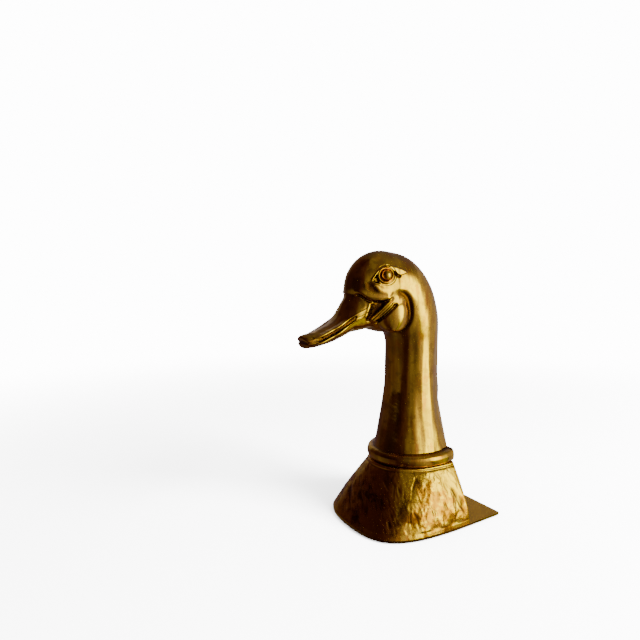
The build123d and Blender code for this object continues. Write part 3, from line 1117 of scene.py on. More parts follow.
@dataclass(frozen=True)
class ChiselledBrass(Finish):
    """The base: struck all over with short upright strokes, stained brown and copper red."""

    name: str = "chiselled_brass"
    stains: tuple[Stain, ...] = (
        Stain(
            Brass.copper, 0.75, 0.76, 0.88, ((Cloud(40.0, 4.0, 0.6), 1.0), (Cloud(230.0, 4.0, 0.65), 0.6)),
            satin=0.08,
        ),
        Stain(
            Brass.brown, 0.85, 0.77, 0.90,
            ((Cloud((52.0, 52.0, 36.4), 4.0, turn=(0.0, 0.0, 1.0)), 1.0), (Cloud(230.0, 4.0, 0.65), 0.5)),
            satin=0.10,
        ),
        Stain(Brass.brown, 0.8, 0.40, 1.0, hollow=1.0),
    )
    roughness: float = 0.17
    reliefs: tuple[tuple[Cloud, float, float], ...] = (
        (Cloud(210.0, cells=True), 0.16, 0.0006),
        (Cloud((430.0, 430.0, 130.0), turn=(0.12, 0.0, 0.2)), 0.3, 0.0005),
        (Cloud(900.0), 0.3, 0.0002),
    )


@dataclass(frozen=True)
class SheetBrass:
    """Flat ground, rolled or turned brass with fine scratches along one direction.

    Attributes:
        name: The material's name.
        dull: How much of the dull skin shows everywhere, from 0 to 1.
        roughness: How satin the face is.
        along: Scales that draw the scratches out.
        face: Which way a sheet's broad faces look: 1 for Y, 2 for Z, or None for a turned piece.
    """

    name: str
    dull: float
    roughness: float
    along: Place
    face: int | None = None

    def material(self) -> Material:
        """Build the material.

        Returns:
            The material.
        """
        scratches = Cloud(self.along)
        stains = (
            Stain(Brass.olive, 0.6, 0.35, 0.75, ((Cloud(45.0, 4.0), 1.0),), least=self.dull),
            Stain(Brass.brown, 0.5, 0.66, 0.76, ((Cloud(300.0), 1.0),)),
        )
        reliefs = ((scratches, 0.18, 0.00015), (Cloud(700.0, 2.0), 0.1, 0.0001))
        return Finish(
            self.name, Brass.bright, stains, self.roughness, (scratches, 0.16), reliefs, self.face
        ).material()


@dataclass(frozen=True)
class Felt(Finish):
    """Dark green wool felt."""

    name: str = "felt"
    ground: Place = (0.012, 0.022, 0.013)
    stains: tuple[Stain, ...] = (
        Stain((0.035, 0.06, 0.035), 1.0, 0.3, 0.7, ((Cloud(2600.0, 4.0, 0.7), 1.0),)),
    )
    roughness: float = 0.95
    reliefs: tuple[tuple[Cloud, float, float], ...] = ((Cloud(2600.0, 4.0, 0.7), 0.6, 0.0003),)
    metal: float = 0.0
    sheen: Spot = (0.35, 0.6)


def mesh_piece(name: str, points: Array, faces: Sequence[Sequence[int]]) -> Piece:
    """Make a shaded piece from points in millimetres.

    Args:
        name: The piece's name.
        points: Its points in millimetres.
        faces: Its faces, wound outwards.

    Returns:
        The new object, in metres, at the origin.
    """
    mesh = bpy.data.meshes.new(name)
    mesh.from_pydata((np.asarray(points) * MM).tolist(), [], [list(map(int, face)) for face in faces])
    mesh.update()
    mesh.polygons.foreach_set("use_smooth", np.ones(len(mesh.polygons), bool))
    return placed(name, mesh)


def placed(name: str, mesh: Mesh) -> Piece:
    """Put a mesh in the scene.

    Args:
        name: Its name.
        mesh: The mesh.

    Returns:
        The new object, at the origin.
    """
    piece = bpy.data.objects.new(name, mesh)
    bpy.context.scene.collection.objects.link(piece)
    return piece


def points_of(mesh: Mesh) -> Array:
    """Read a mesh's points.

    Args:
        mesh: The mesh.

    Returns:
        Its points in millimetres.
    """
    flat = np.empty(len(mesh.vertices) * 3)
    mesh.vertices.foreach_get("co", flat)
    return flat.reshape(-1, 3) / MM


def baked(piece: Piece) -> Piece:
    """Give a piece the mesh that its modifiers make, and take the modifiers off.

    Args:
        piece: The piece.

    Returns:
        The same piece.
    """
    depsgraph = bpy.context.evaluated_depsgraph_get()
    mesh = bpy.data.meshes.new_from_object(piece.evaluated_get(depsgraph), depsgraph=depsgraph)
    piece.modifiers.clear()
    old = piece.data
    piece.data = mesh
    bpy.data.meshes.remove(old)
    mesh.name = piece.name
    return piece


def write_attribute(mesh: Mesh, name: str, values: Array) -> None:
    """Store one value for each point of a mesh."""
    layer = mesh.attributes.new(name, "FLOAT", "POINT")
    layer.data.foreach_set("value", np.asarray(values, np.float32))


def dress(piece: Piece, material: Material) -> None:
    """Put one material on all of a piece."""
    piece.data.materials.clear()
    piece.data.materials.append(material)


def stand(piece: Piece, material: Material, node: str | None) -> Piece:
    """Dress a piece, join it to the bookend's one body and report it.

    Args:
        piece: The piece.
        material: Its material.
        node: The CAD node that it stands for, or None where it is an addition.

    Returns:
        The same piece.
    """
    dress(piece, material)
    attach(piece, "root")
    if node is not None:
        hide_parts(node)
    log.info("%s: %d faces", piece.name, len(piece.data.polygons))
    return piece


@dataclass
class HeadAndNeck:
    """The cast head, bill and neck.

    Attributes:
        cell: Size of the net's cells in millimetres.
        fine_cell: Size of the cells round the eye and the mouth corner.
        neck_cell: Height of the cells in the plain part of the neck.
        triangles: About how many triangles it keeps.
        floor: Height where it is cut level to stand on the base.
        margin: How near to a flat face a point lies on it.
        feel: How far to each side slopes are felt.
        edge_step: How far in front of the flat back its edge's slope is read.
        square_on: How squarely a flat face looks back, from 0 to 1.
        finish: Its finish.
        clay: Its form.
    """

    cell: float = 0.62
    fine_cell: float = 0.42
    neck_cell: float = 1.3
    triangles: int = 192000
    floor: float = 42.0
    margin: float = 0.3
    feel: float = 0.12
    edge_step: float = 1.5
    square_on: float = 0.93
    finish: Finish = PolishedBrass()
    clay: Clay = Clay()

    def axes(self) -> list[Array]:
        """Lay out the net: fine round the face, and further apart up the plain neck.

        Returns:
            The grid lines along X from the middle plane outwards, along Y and along Z.
        """
        cell, fine, tall = self.cell, self.fine_cell, self.neck_cell
        spans = (
            ((0.0, 9.0, cell), (9.0, 21.5, fine), (21.5, 28.0, cell)),
            ((-119.0, -76.0, cell), (-76.0, -42.0, fine), (-42.0, 2.0, cell)),
            ((41.0, 134.0, tall), (134.0, 146.0, cell), (146.0, 190.0, fine), (190.0, 202.5, cell)),
        )
        return [np.concatenate([np.arange(*span) for span in axis]) for axis in spans]

    def normals(self, mesh: Mesh, spots: Array, slopes: Array, flat_back: Array, under: Array) -> Array:
        """Work out smooth normals for the faces' corners that break cleanly at the flat back.

        Args:
            mesh: The casting's mesh.
            spots: Its points in millimetres.
            slopes: The clay's direction at each point.
            flat_back: Which points lie on the flat back.
            under: Which points lie on the level cut under the neck.

        Returns:
            One normal for each corner, 0 where the face's own is kept.
        """
        normals = slopes.copy()
        before = spots[flat_back] - np.array([0.0, self.edge_step, 0.0])
        normals[flat_back] = unit(self.clay.slopes(before, self.feel))
        normals[under] = 0.0
        corners = np.empty(len(mesh.loops), int)
        mesh.loops.foreach_get("vertex_index", corners)
        sizes = np.empty(len(mesh.polygons), int)
        mesh.polygons.foreach_get("loop_total", sizes)
        faces = np.empty(len(mesh.polygons) * 3)
        mesh.polygons.foreach_get("normal", faces)
        level = np.repeat(faces.reshape(-1, 3)[:, 1] > self.square_on, sizes) & flat_back[corners]
        found = normals[corners]
        found[level] = (0.0, 1.0, 0.0)
        return found

    def build(self) -> Piece:
        """Model the casting and stand it for the CAD node.

        Returns:
            The finished piece.
        """
        clay = self.clay

        def cut(points: Array) -> Array:
            """The clay, cut level where it stands on the base."""
            return np.maximum(clay.distance(points), self.floor - points[..., 2])

        points, faces = net_over(cut, self.axes())
        log.info("head_and_neck: net of %d points, %d faces", len(points), len(faces))
        piece = mesh_piece("head_and_neck_cast", points, faces)
        modifier = piece.modifiers.new("fewer", "DECIMATE")
        modifier.ratio = min(1.0, self.triangles / (2.0 * len(faces)))
        modifier.use_collapse_triangulate = True
        baked(piece)
        mesh = piece.data
        spots = points_of(mesh)
        set_in = np.where(spots[:, 2] > clay.plate_top, 0.0, clay.plate_room)
        flat_back = spots[:, 1] > -set_in - self.margin
        under = spots[:, 2] < self.floor + self.margin
        free = ~(flat_back | under)
        spots[free] = clay.settle(spots[free], 2)
        spots[under, 2] = self.floor
        level = flat_back & (spots[:, 2] > clay.plate_top + 2.0 * self.margin)
        spots[level, 1] = np.minimum(spots[level, 1], 0.0)
        slopes = unit(clay.slopes(spots, self.feel))
        mesh.vertices.foreach_set("co", (spots * MM).ravel())
        mesh.update()
        # The hollow attribute darkens the metal: tarnish in the creases, and painted shade on the face's
        # pressed marks and stains.
        write_attribute(mesh, "hollow", clay.hollows(spots, slopes))
        normals = self.normals(mesh, spots, slopes, flat_back, under)
        mesh.normals_split_custom_set(normals.tolist())
        return stand(piece, self.finish.material(), "head_and_neck")


def swept(rows: Array) -> list[list[int]]:
    """Make the faces of a closed profile carried along a path, with both ends capped.

    Args:
        rows: Points laid out as path steps by profile points by 3; the profile closes on itself.

    Returns:
        Faces over the points in the same order.
    """
    steps, count = rows.shape[:2]
    faces = []
    for step in range(steps - 1):
        for index in range(count):
            beside = (index + 1) % count
            low, high = step * count, (step + 1) * count
            faces.append([low + index, low + beside, high + beside, high + index])
    faces.append(list(range(count))[::-1])
    faces.append([(steps - 1) * count + index for index in range(count)])
    return faces


def turned_outwards(piece: Piece, sharp: float) -> Piece:
    """Point all faces outwards and keep sharp edges crisp.

    Args:
        piece: The piece.
        sharp: The angle from which an edge is sharp, in degrees.

    Returns:
        The same piece.
    """
    mesh = bmesh.new()
    mesh.from_mesh(piece.data)
    bmesh.ops.recalc_face_normals(mesh, faces=mesh.faces)
    mesh.to_mesh(piece.data)
    mesh.free()
    piece.data.set_sharp_from_angle(angle=math.radians(sharp))
    return piece
@dataclass
class Eyes:
    """The two round beads, each on a stem in its socket.

    Attributes:
        centre: The left bead's middle in millimetres.
        outwards: The way it looks.
        radius: The bead's radius.
        stem: Radius and length of the stem behind it.
        finish: Its finish.
    """

    centre: Place = (16.3, -56.4, 181.1)
    outwards: Place = (0.9415, -0.2347, 0.2419)
    radius: float = 3.75
    stem: Spot = (1.5, 4.6)
    finish: SheetBrass = SheetBrass("eye_brass", 0.1, 0.12, (300.0, 300.0, 300.0))

    def profile(self) -> list[Spot]:
        """Draw half of the bead's outline.

        Returns:
            Places from front to back: distance from its axis, and height along it.
        """
        turns = np.radians(np.linspace(88.0, -55.0, 26))
        outline = [(0.0, self.radius)]
        outline += [(self.radius * math.cos(turn), self.radius * math.sin(turn)) for turn in turns]
        outline += [(self.stem[0], -self.radius * 0.9), (self.stem[0], -self.stem[1]), (0.0, -self.stem[1])]
        return outline

    def build(self) -> None:
        """Turn both beads and stand them for the CAD nodes."""
        material = self.finish.material()
        for side, node in ((1.0, "left_eye"), (-1.0, "right_eye")):
            axis = Vector((side * self.outwards[0], self.outwards[1], self.outwards[2])).normalized()
            turn = axis.to_track_quat("Z", "Y").to_matrix()
            mesh = bmesh.new()
            verts = [mesh.verts.new((across, 0.0, up)) for across, up in self.profile()]
            edges = [mesh.edges.new(pair) for pair in zip(verts[:-1], verts[1:])]
            bmesh.ops.spin(
                mesh, geom=verts + edges, axis=(0, 0, 1), cent=(0, 0, 0), steps=40, angle=2 * math.pi
            )
            bmesh.ops.remove_doubles(mesh, verts=mesh.verts, dist=1e-4)
            bmesh.ops.recalc_face_normals(mesh, faces=mesh.faces)
            centre = Vector((side * self.centre[0], self.centre[1], self.centre[2]))
            for vert in mesh.verts:
                vert.co = (turn @ vert.co + centre) * MM
            data = bpy.data.meshes.new(f"{node}_bead")
            mesh.to_mesh(data)
            mesh.free()
            data.polygons.foreach_set("use_smooth", np.ones(len(data.polygons), bool))
            data.set_sharp_from_angle(angle=math.radians(50.0))
            stand(placed(f"{node}_bead", data), material, node)


@dataclass
class Collar:
    """The half-round ring round the neck's root, with a groove below it and one old nick.

    Attributes:
        root: Half width and half depth of the neck's root.
        setback: How far the root's middle lies in front of the flat back.
        levels: Heights of its underside and its top.
        reach: How far it stands out from the root.
        plate: How far its ends stay in front of the flat back.
        bead: How far the round part stands out, and the flat edges it leaves.
        nick: Where the nick is, in millimetres.
        nick_size: Half sizes of the nick.
        finish: Its finish.
    """

    root: Spot = (25.75, 32.5)
    setback: float = 15.0
    levels: Spot = (42.0, 52.0)
    reach: float = 5.8
    plate: float = 1.6
    bead: Spot = (3.6, 0.75)
    nick: Place = (21.0, -43.2, 44.6)
    nick_size: Place = (1.6, 1.6, 1.1)
    finish: Finish = PolishedBrass()

    def profile(self) -> list[Spot]:
        """Draw the ring's cross-section.

        Returns:
            Places in order: distance out from the root, and height.
        """
        low, high = self.levels
        stands, left = self.bead
        middle = (low + high) / 2.0 + 0.2
        half = (high - low) / 2.0 - left
        turns = np.radians(np.linspace(-84.0, 84.0, 34))
        outline = [(0.15, low), (self.reach - 2.3, low), (self.reach - 2.1, low + 0.5)]
        for turn in turns:
            out = self.reach - stands + stands * math.cos(turn) ** 0.8
            outline.append((out, middle + half * math.sin(turn)))
        outline += [(1.5, high - 0.5), (0.9, high - 0.1), (0.15, high)]
        return outline

    def build(self) -> None:
        """Sweep the ring and stand it for the CAD node."""
        low, high = self.levels
        start = math.asin((self.setback - self.plate) / (self.root[1] + 3.0))
        turns = np.linspace(start, -math.pi - start, 260)
        chance = np.random.default_rng(7)
        waves = [(int(k), chance.uniform(0, 6.3), 0.10 / k**0.5) for k in (3, 5, 8, 13, 21)]
        rows = []
        for turn in turns:
            sway = sum(size * math.sin(k * turn + phase) for k, phase, size in waves)
            row = []
            for out, height in self.profile():
                share = (out - 0.15) / self.reach
                spot = np.array([
                    (self.root[0] + out + sway * share) * math.cos(turn),
                    -self.setback + (self.root[1] + out + sway * share) * math.sin(turn),
                    height + 0.25 * sway * (low + 0.6 < height < high - 0.6),
                ])
                away = np.linalg.norm((spot - np.array(self.nick)) / np.array(self.nick_size))
                spot[:2] *= 1.0 - 0.022 * math.exp(-(away**2)) * (out > 2.0)
                spot[1] = min(spot[1], -self.plate)
                row.append(spot)
            rows.append(row)
        grid = np.array(rows)
        ring = turned_outwards(mesh_piece("collar_ring_cast", grid.reshape(-1, 3), swept(grid)), 48.0)
        spots = points_of(ring.data)
        groove = bell(spots[:, 2], low + 0.3, 0.7) + bell(spots[:, 2], high, 0.7)
        away = np.linalg.norm((spots - np.array(self.nick)) / 1.4, axis=1)
        write_attribute(ring.data, "hollow", np.clip(groove + 0.7 * np.exp(-(away**2)), 0.0, 1.0))
        stand(ring, self.finish.material(), "collar_ring")


def round_front(half: float, start: float, length: float, square: float, count: int) -> Array:
    """Draw one half of a foot's outline: along its side and round its front.

    Args:
        half: Its half width.
        start: Where along Y it begins.
        length: How far forwards it reaches.
        square: How square its front is, up to 1.
        count: How many points it gets.

    Returns:
        Points across and along, from the +X end of the back to the middle of the front.
    """
    hooks = ((half, start), (half, -length * square), (half * square, -length), (0.0, -length))
    share = np.linspace(0.0, 1.0, count)[:, None]
    pulls = ((1 - share) ** 3, 3 * share * (1 - share) ** 2, 3 * share**2 * (1 - share), share**3)
    return sum(np.array(hook) * pull for hook, pull in zip(hooks, pulls))


@dataclass
class Base:
    """The bell-shaped base casting, struck with a chisel between a plain rim and a plain top edge.

    Attributes:
        foot: Half width and length where it stands on the foot plate.
        shoulder: Half width and length at its top.
        fronts: How square the outline's front is at foot and shoulder.
        levels: Heights of its foot and its shoulder.
        swell_heights: Heights of the stations, as shares.
        swell: How far the half width has drawn in there, and front_swell how far the length has.
        wall: Thickness of the casting.
        plate: How far its ends stay in front of the flat back.
        rim: Height of the plain rim at the foot.
        strokes: How many chisel strokes it carries.
        waves: How many gentle waves lie below the strokes, and their height.
        girth: Length of the outline at the foot, and its share at the shoulder.
        net: Points round the outline, up the wall, and up the inside.
        proud: How far the struck face may stand out at the foot.
        finish: Its finish.
    """

    foot: Spot = (45.5, 77.5)
    shoulder: Spot = (28.5, 52.5)
    fronts: Spot = (0.83, 0.66)
    levels: Spot = (2.6, 42.0)
    swell_heights: tuple[float, ...] = (0.0, 0.29, 0.64, 1.0)
    swell: tuple[float, ...] = (0.0, 0.17, 0.54, 1.0)
    front_swell: tuple[float, ...] = (0.0, 0.32, 0.64, 1.0)
    wall: float = 3.5
    plate: float = 1.6
    rim: float = 2.4
    strokes: int = 760
    waves: tuple[int, float] = (26, 0.05)
    girth: Spot = (208.0, 0.66)
    net: tuple[int, int, int] = (420, 100, 12)
    proud: float = 0.45
    finish: Finish = ChiselledBrass()

    def outline(self, level: float, inset: float, count: int) -> Array:
        """Draw the base's outline at a height, drawn in by inset.

        Args:
            level: The height, from 0 at the foot to 1 at the shoulder.
            inset: How far the outline is drawn in.
            count: How many points it gets.

        Returns:
            Points across and along, from the +X end of the back round the front to the -X end.
        """
        width_share, front_share = (
            float(along_table(np.array([level]), self.swell_heights, sizes)[0])
            for sizes in (self.swell, self.front_swell)
        )
        half = self.foot[0] + (self.shoulder[0] - self.foot[0]) * width_share - inset
        length = self.foot[1] + (self.shoulder[1] - self.foot[1]) * front_share - inset
        square = self.fronts[0] + (self.fronts[1] - self.fronts[0]) * width_share
        side = round_front(half, -self.plate, length, square, 60)
        whole = np.vstack([side, (side * np.array([-1.0, 1.0]))[-2::-1]])
        run = np.concatenate([[0.0], np.cumsum(np.linalg.norm(np.diff(whole, axis=0), axis=1))])
        even = np.linspace(0.0, run[-1], count)
        return np.stack([np.interp(even, run, whole[:, 0]), np.interp(even, run, whole[:, 1])], -1)

    def relief(self, along: Array, height: Array) -> Array:
        """Strike the surface.

        Args:
            along: Distance along the outline.
            height: Height above the foot.

        Returns:
            How far each point stands out or in, in millimetres.
        """
        chance = np.random.default_rng(23)
        depth = np.zeros_like(along)
        for _ in range(self.waves[0]):
            pitch = chance.uniform(0.06, 0.20, 2) * np.array([1.0, 0.8])
            phase = chance.uniform(0.0, 2 * math.pi, 2)
            wave = np.sin(pitch[0] * along * 2 + phase[0]) * np.sin(pitch[1] * height * 2 + phase[1])
            depth += self.waves[1] * wave
        for _ in range(self.strokes):
            spot = chance.uniform((0.0, 2.0), (along.max(), height.max() - 1.0))
            lean = chance.normal(0.0, 0.32)
            long, wide = chance.uniform(1.4, 4.2), chance.uniform(0.5, 1.3)
            size = chance.choice((-1.0, 1.0), p=(0.66, 0.34)) * chance.uniform(0.06, 0.20)
            near = (np.abs(along - spot[0]) < 6.0) & (np.abs(height - spot[1]) < 12.0)
            side, up = along[near] - spot[0], height[near] - spot[1]
            across = side * math.cos(lean) - up * math.sin(lean)
            upright = side * math.sin(lean) + up * math.cos(lean)
            depth[near] += size * np.exp(-((across / wide) ** 2) - (upright / long) ** 4)
        return depth

    def edges(self, rise: Array) -> tuple[Array, Array]:
        """Shape the plain edges above and below the strokes.

        Args:
            rise: Heights above the foot.

        Returns:
            How far the lip at the top and the line above the rim stand out or in.
        """
        top = self.levels[1] - self.levels[0]
        lip = 0.45 * bell(rise, top - 0.7, 0.75) - 0.35 * bell(rise, top - 2.1, 0.7)
        return lip, -0.08 * bell(rise, self.rim + 0.3, 0.6)

    def build(self) -> None:
        """Sweep the shell, strike it and stand it for the CAD node."""
        low, high = self.levels
        across, upward, within = self.net
        shares = np.linspace(0.0, 1.0, upward)
        outer = np.stack([self.outline(share, 0.0, across) for share in shares], 1)
        heights = low + (high - low) * shares
        narrow = self.girth[1] + (1.0 - self.girth[1]) * (1 - shares)
        run = np.linspace(0.0, self.girth[0], across)[:, None] * narrow[None, :]
        rise = np.broadcast_to((heights - low)[None, :], run.shape)
        fade = smooth_step((rise - self.rim) / 1.6) * smooth_step((high - low - 1.4 - rise) / 1.4)
        ends = smooth_step(np.minimum(np.arange(across), np.arange(across)[::-1]) / 5.0)[:, None]
        depth = self.relief(run, rise) * fade * ends
        lip, edge = self.edges(rise)
        along = np.gradient(outer, axis=0)
        away = unit(np.stack([-along[..., 1], along[..., 0]], -1))
        away *= np.sign((away * (outer - np.array([0.0, -25.0]))).sum(-1, keepdims=True))
        shell = outer + away * (depth + lip + edge)[..., None]
        limit = self.foot[0] + self.proud
        shell[..., 0] = np.clip(shell[..., 0], -limit, limit)
        shell[..., 1] = np.minimum(shell[..., 1], -self.plate)
        back_down = np.linspace(1.0, 0.0, within)
        inner = np.stack([self.outline(share, self.wall, across) for share in back_down], 1)
        flat = np.concatenate([shell, inner], 1)
        levels = np.concatenate([heights, low + (high - low) * back_down])
        grid = np.concatenate([flat, np.broadcast_to(levels[None, :, None], (across, len(levels), 1))], -1)
        piece = turned_outwards(mesh_piece("base_shell_cast", grid.reshape(-1, 3), swept(grid)), 60.0)
        hollow = np.zeros(grid.shape[:2])
        hollow[:, :upward] = np.clip(0.35 - 1.5 * (depth + edge + 0.8 * lip), 0.0, 1.0)
        write_attribute(piece.data, "hollow", hollow.ravel())
        stand(piece, self.finish.material(), "base_shell")


class Growth(Tree):
    """A Geometry Nodes tree with named sizes, grown on a piece and baked into its mesh."""

    def __init__(self, name: str, sizes: dict[str, float], counts: dict[str, int]) -> None:
        """Start a tree.

        Args:
            name: The tree's name.
            sizes: Named lengths in metres.
            counts: Named whole numbers.
        """
        super().__init__(bpy.data.node_groups.new(name, "GeometryNodeTree"))
        self.values = {**sizes, **counts}
        sockets = self.tree.interface
        sockets.new_socket("Geometry", in_out="INPUT", socket_type="NodeSocketGeometry")
        kinds = {**dict.fromkeys(sizes, "NodeSocketFloat"), **dict.fromkeys(counts, "NodeSocketInt")}
        self.ids = {
            key: sockets.new_socket(key, in_out="INPUT", socket_type=kind).identifier
            for key, kind in kinds.items()
        }
        sockets.new_socket("Geometry", in_out="OUTPUT", socket_type="NodeSocketGeometry")
        self.given = self.node("NodeGroupInput").outputs
        self.end = self.node("NodeGroupOutput")

    def shape(self, kind: str, *values: object, **inputs: object) -> Socket:
        """Add a geometry node, named without GeometryNode, and give its first output."""
        return self.node("GeometryNode" + kind, *values, **inputs).outputs[0]

    def grow(self, piece: Piece, shape: Socket, material: Material) -> None:
        """End the tree with plain geometry and a material, and bake it into the piece.

        Args:
            piece: The piece that the tree grows on.
            shape: What has grown.
            material: Its material.
        """
        real = self.shape("RealizeInstances", Geometry=shape)
        self.link(self.shape("SetMaterial", Geometry=real, Material=material), self.end.inputs[0])
        modifier = piece.modifiers.new(self.tree.name, "NODES")
        modifier.node_group = self.tree
        for key, identifier in self.ids.items():
            modifier[identifier] = self.values[key]
        baked(piece)


@dataclass
class Lamellae:
    """The comb of small upright plates inside the slot of the bill, one row on each side.

    Attributes:
        bill: The bill that they stand in.
        reach: Where the rows begin and end, in front of the flat back.
        count: Plates in each row.
        plate: Half thickness, half depth and half height of a plate.
        out: How far the plates' middle stands out from the slot's bottom.
        lift: How far it lies above the middle of the slot.
        stations: How many points draw a row.
        hollow: How far the brown of the hollows darkens them.
    """

    bill: Bill = Bill()
    reach: Spot = (80.5, 102.5)
    count: int = 25
    plate: Place = (0.26, 0.85, 0.75)
    out: float = 0.45
    lift: float = 0.45
    stations: int = 24
    hollow: float = 0.45

    def rails(self) -> Piece:
        """Draw the two lines that the plates stand on.

        Returns:
            The lines as one piece.
        """
        forward = np.linspace(*self.reach, self.stations)
        width = self.bill.slot_bottom(forward) + self.out
        level = self.bill.size("edge", forward) + self.lift
        points = [(side * x, -y, z) for side in (1, -1) for x, y, z in zip(width, forward, level)]
        starts = [row * self.stations + i for row in (0, 1) for i in range(self.stations - 1)]
        mesh = bpy.data.meshes.new("bill_lamellae")
        mesh.from_pydata((np.array(points) * MM).tolist(), [(i, i + 1) for i in starts], [])
        return placed("bill_lamellae", mesh)

    def build(self, material: Material) -> None:
        """Grow both rows along the slot.

        Args:
            material: The material of the casting that they belong to.
        """
        piece = self.rails()
        names = ("Half Thickness", "Half Depth", "Half Height")
        sizes = {name: size * MM for name, size in zip(names, self.plate)}
        comb = Growth("comb", sizes, {"Plates": self.count})
        given = comb.given
        rail = comb.shape("MeshToCurve", Mesh=given["Geometry"])
        even = comb.shape("ResampleCurve", Curve=rail, Count=given["Plates"])
        plate = comb.shape("MeshCylinder", Vertices=10, Radius=1.0, Depth=2.0)
        scale = comb.vector(given["Half Depth"], given["Half Thickness"], given["Half Height"])
        sized = comb.shape("Transform", Geometry=plate, Scale=scale)
        how = (("axis", "Y"), ("pivot_axis", "Z"))
        turn = comb.node("FunctionNodeAlignRotationToVector", Vector=comb.shape("InputTangent"), how=how)
        row = comb.shape("InstanceOnPoints", Points=even, Instance=sized, Rotation=turn.outputs[0])
        comb.grow(piece, row, material)
        write_attribute(piece.data, "hollow", np.full(len(piece.data.vertices), self.hollow))
        piece.data.set_sharp_from_angle(angle=math.radians(50.0))
        stand(piece, material, None)


@dataclass
class FootScrews:
    """Four countersunk slotted screws that hold the foot plate from below.

    Attributes:
        places: Where they stand, across and along, in millimetres.
        level: Height of the heads' flat faces.
        head: Radius and height of the head.
        shank: Radius of the core and length of the screw.
        slot: Width and depth of the slot.
        thread: Radius of the wire that stands for the thread, and its turns.
        finish: Its finish.
    """

    places: tuple[Spot, ...] = ((36.5, -13.0), (-36.5, -13.0), (28.51, -51.3), (-28.51, -51.3))
    level: float = 1.0
    head: Spot = (2.7, 1.2)
    shank: Spot = (1.28, 9.0)
    slot: Spot = (0.8, 0.6)
    thread: tuple[float, int] = (0.2, 13)
    finish: SheetBrass = SheetBrass("screw_brass", 0.35, 0.3, (900.0, 900.0, 60.0))

    def screw(self, tree: Growth) -> Socket:
        """Model one screw, its head down.

        Args:
            tree: The tree that grows the screws.

        Returns:
            The screw.
        """
        given = tree.given
        core_radius, head_height = given["Core Radius"], given["Head Height"]
        middle = tree.vector(z=tree.math("MULTIPLY", given["Length"], 0.5))
        core = tree.shape("MeshCylinder", Vertices=24, Radius=core_radius, Depth=given["Length"])
        core = tree.shape("Transform", Geometry=core, Translation=middle)
        head = tree.shape("MeshCone", Vertices=40, Radius_Top=core_radius,
                          Radius_Bottom=given["Head Radius"], Depth=head_height)
        long = tree.math("MULTIPLY", given["Head Radius"], 3.0)
        deep = tree.math("MULTIPLY", given["Slot Depth"], 2.0)
        bar = tree.shape("MeshCube", Size=tree.vector(long, given["Slot Width"], deep))
        both, cut = tree.node("GeometryNodeMeshBoolean"), tree.node("GeometryNodeMeshBoolean")
        both.operation, cut.operation = "UNION", "DIFFERENCE"
        tree.link(core, both.inputs[1])
        tree.link(head, both.inputs[1])
        tree.link(both.outputs[0], cut.inputs[0])
        tree.link(bar, cut.inputs[1])
        climb = tree.math("SUBTRACT", given["Length"], tree.math("ADD", head_height, 0.6 * MM))
        helix = tree.shape("CurveSpiral", Resolution=16, Rotations=given["Turns"],
                           Start_Radius=core_radius, End_Radius=core_radius, Height=climb)
        wire = tree.shape("CurvePrimitiveCircle", Resolution=6, Radius=given["Thread"])
        thread = tree.shape("CurveToMesh", Curve=helix, Profile_Curve=wire, Fill_Caps=True)
        begin = tree.vector(z=tree.math("ADD", head_height, 0.2 * MM))
        thread = tree.shape("Transform", Geometry=thread, Translation=begin)
        joined = tree.node("GeometryNodeJoinGeometry")
        tree.link(cut.outputs[0], joined.inputs[0])
        tree.link(thread, joined.inputs[0])
        return joined.outputs[0]

    def build(self) -> None:
        """Grow a screw at each place and stand them for the CAD node."""
        mesh = bpy.data.meshes.new("foot_screws_cut")
        mesh.from_pydata([(x * MM, y * MM, self.level * MM) for x, y in self.places], [], [])
        piece = placed("foot_screws_cut", mesh)
        names = ("Head Radius", "Head Height", "Core Radius", "Length", "Slot Width", "Slot Depth", "Thread")
        sizes = (*self.head, *self.shank, *self.slot, self.thread[0])
        tree = Growth(
            "screws", {name: size * MM for name, size in zip(names, sizes)}, {"Turns": self.thread[1]}
        )
        row = tree.shape("InstanceOnPoints", tree.given["Geometry"], Instance=self.screw(tree))
        material = self.finish.material()
        tree.grow(piece, row, material)
        piece.data.set_sharp_from_angle(angle=math.radians(35.0))
        stand(piece, material, "foot_screws")


@dataclass
class FeltPad:
    """The felt under the foot plate, cut a little unevenly.

    Attributes:
        half: Its half width in millimetres.
        front: How far its rounded front reaches.
        square: How square the front is.
        back: How far it reaches under the tongue.
        thickness: Its thickness.
        fray: How far the cut edge wanders.
        insets: How far the edge is drawn in, at each share of the thickness.
        middle: The place that it is drawn in towards, and how far off that is.
        finish: The wool's finish.
    """

    half: float = 43.0
    front: float = 75.0
    square: float = 0.80
    back: float = 28.0
    thickness: float = 1.0
    fray: float = 0.16
    insets: tuple[Spot, ...] = ((0.25, 0.0), (0.0, 0.25), (0.05, 0.7), (0.2, 1.0))
    middle: Place = (0.0, -22.0, 40.0)
    finish: Felt = Felt()

    def build(self) -> None:
        """Cut the pad and stand it for the CAD node."""
        side = round_front(self.half, 0.0, self.front, self.square, 90)
        tongue = np.stack([np.full(18, self.half), np.linspace(self.back - 1.0, 1.0, 18)], -1)
        end = np.stack([np.linspace(0.0, self.half - 1.0, 24), np.full(24, self.back)], -1)
        right = np.vstack([end, tongue, side])
        whole = np.vstack([right, (right * np.array([-1.0, 1.0]))[-2:0:-1]])
        chance = np.random.default_rng(5)
        frayed = whole - np.sign(whole) * chance.uniform(0.0, self.fray, whole.shape)
        rows = []
        for inset, level in self.insets:
            pulled = frayed + (np.array(self.middle[:2]) - frayed) * inset / self.middle[2]
            rows.append(np.column_stack([pulled, np.full(len(pulled), level * self.thickness)]))
        grid = np.stack(rows)
        piece = turned_outwards(mesh_piece("felt_pad_cut", grid.reshape(-1, 3), swept(grid)), 50.0)
        stand(piece, self.finish.material(), "felt_pad")


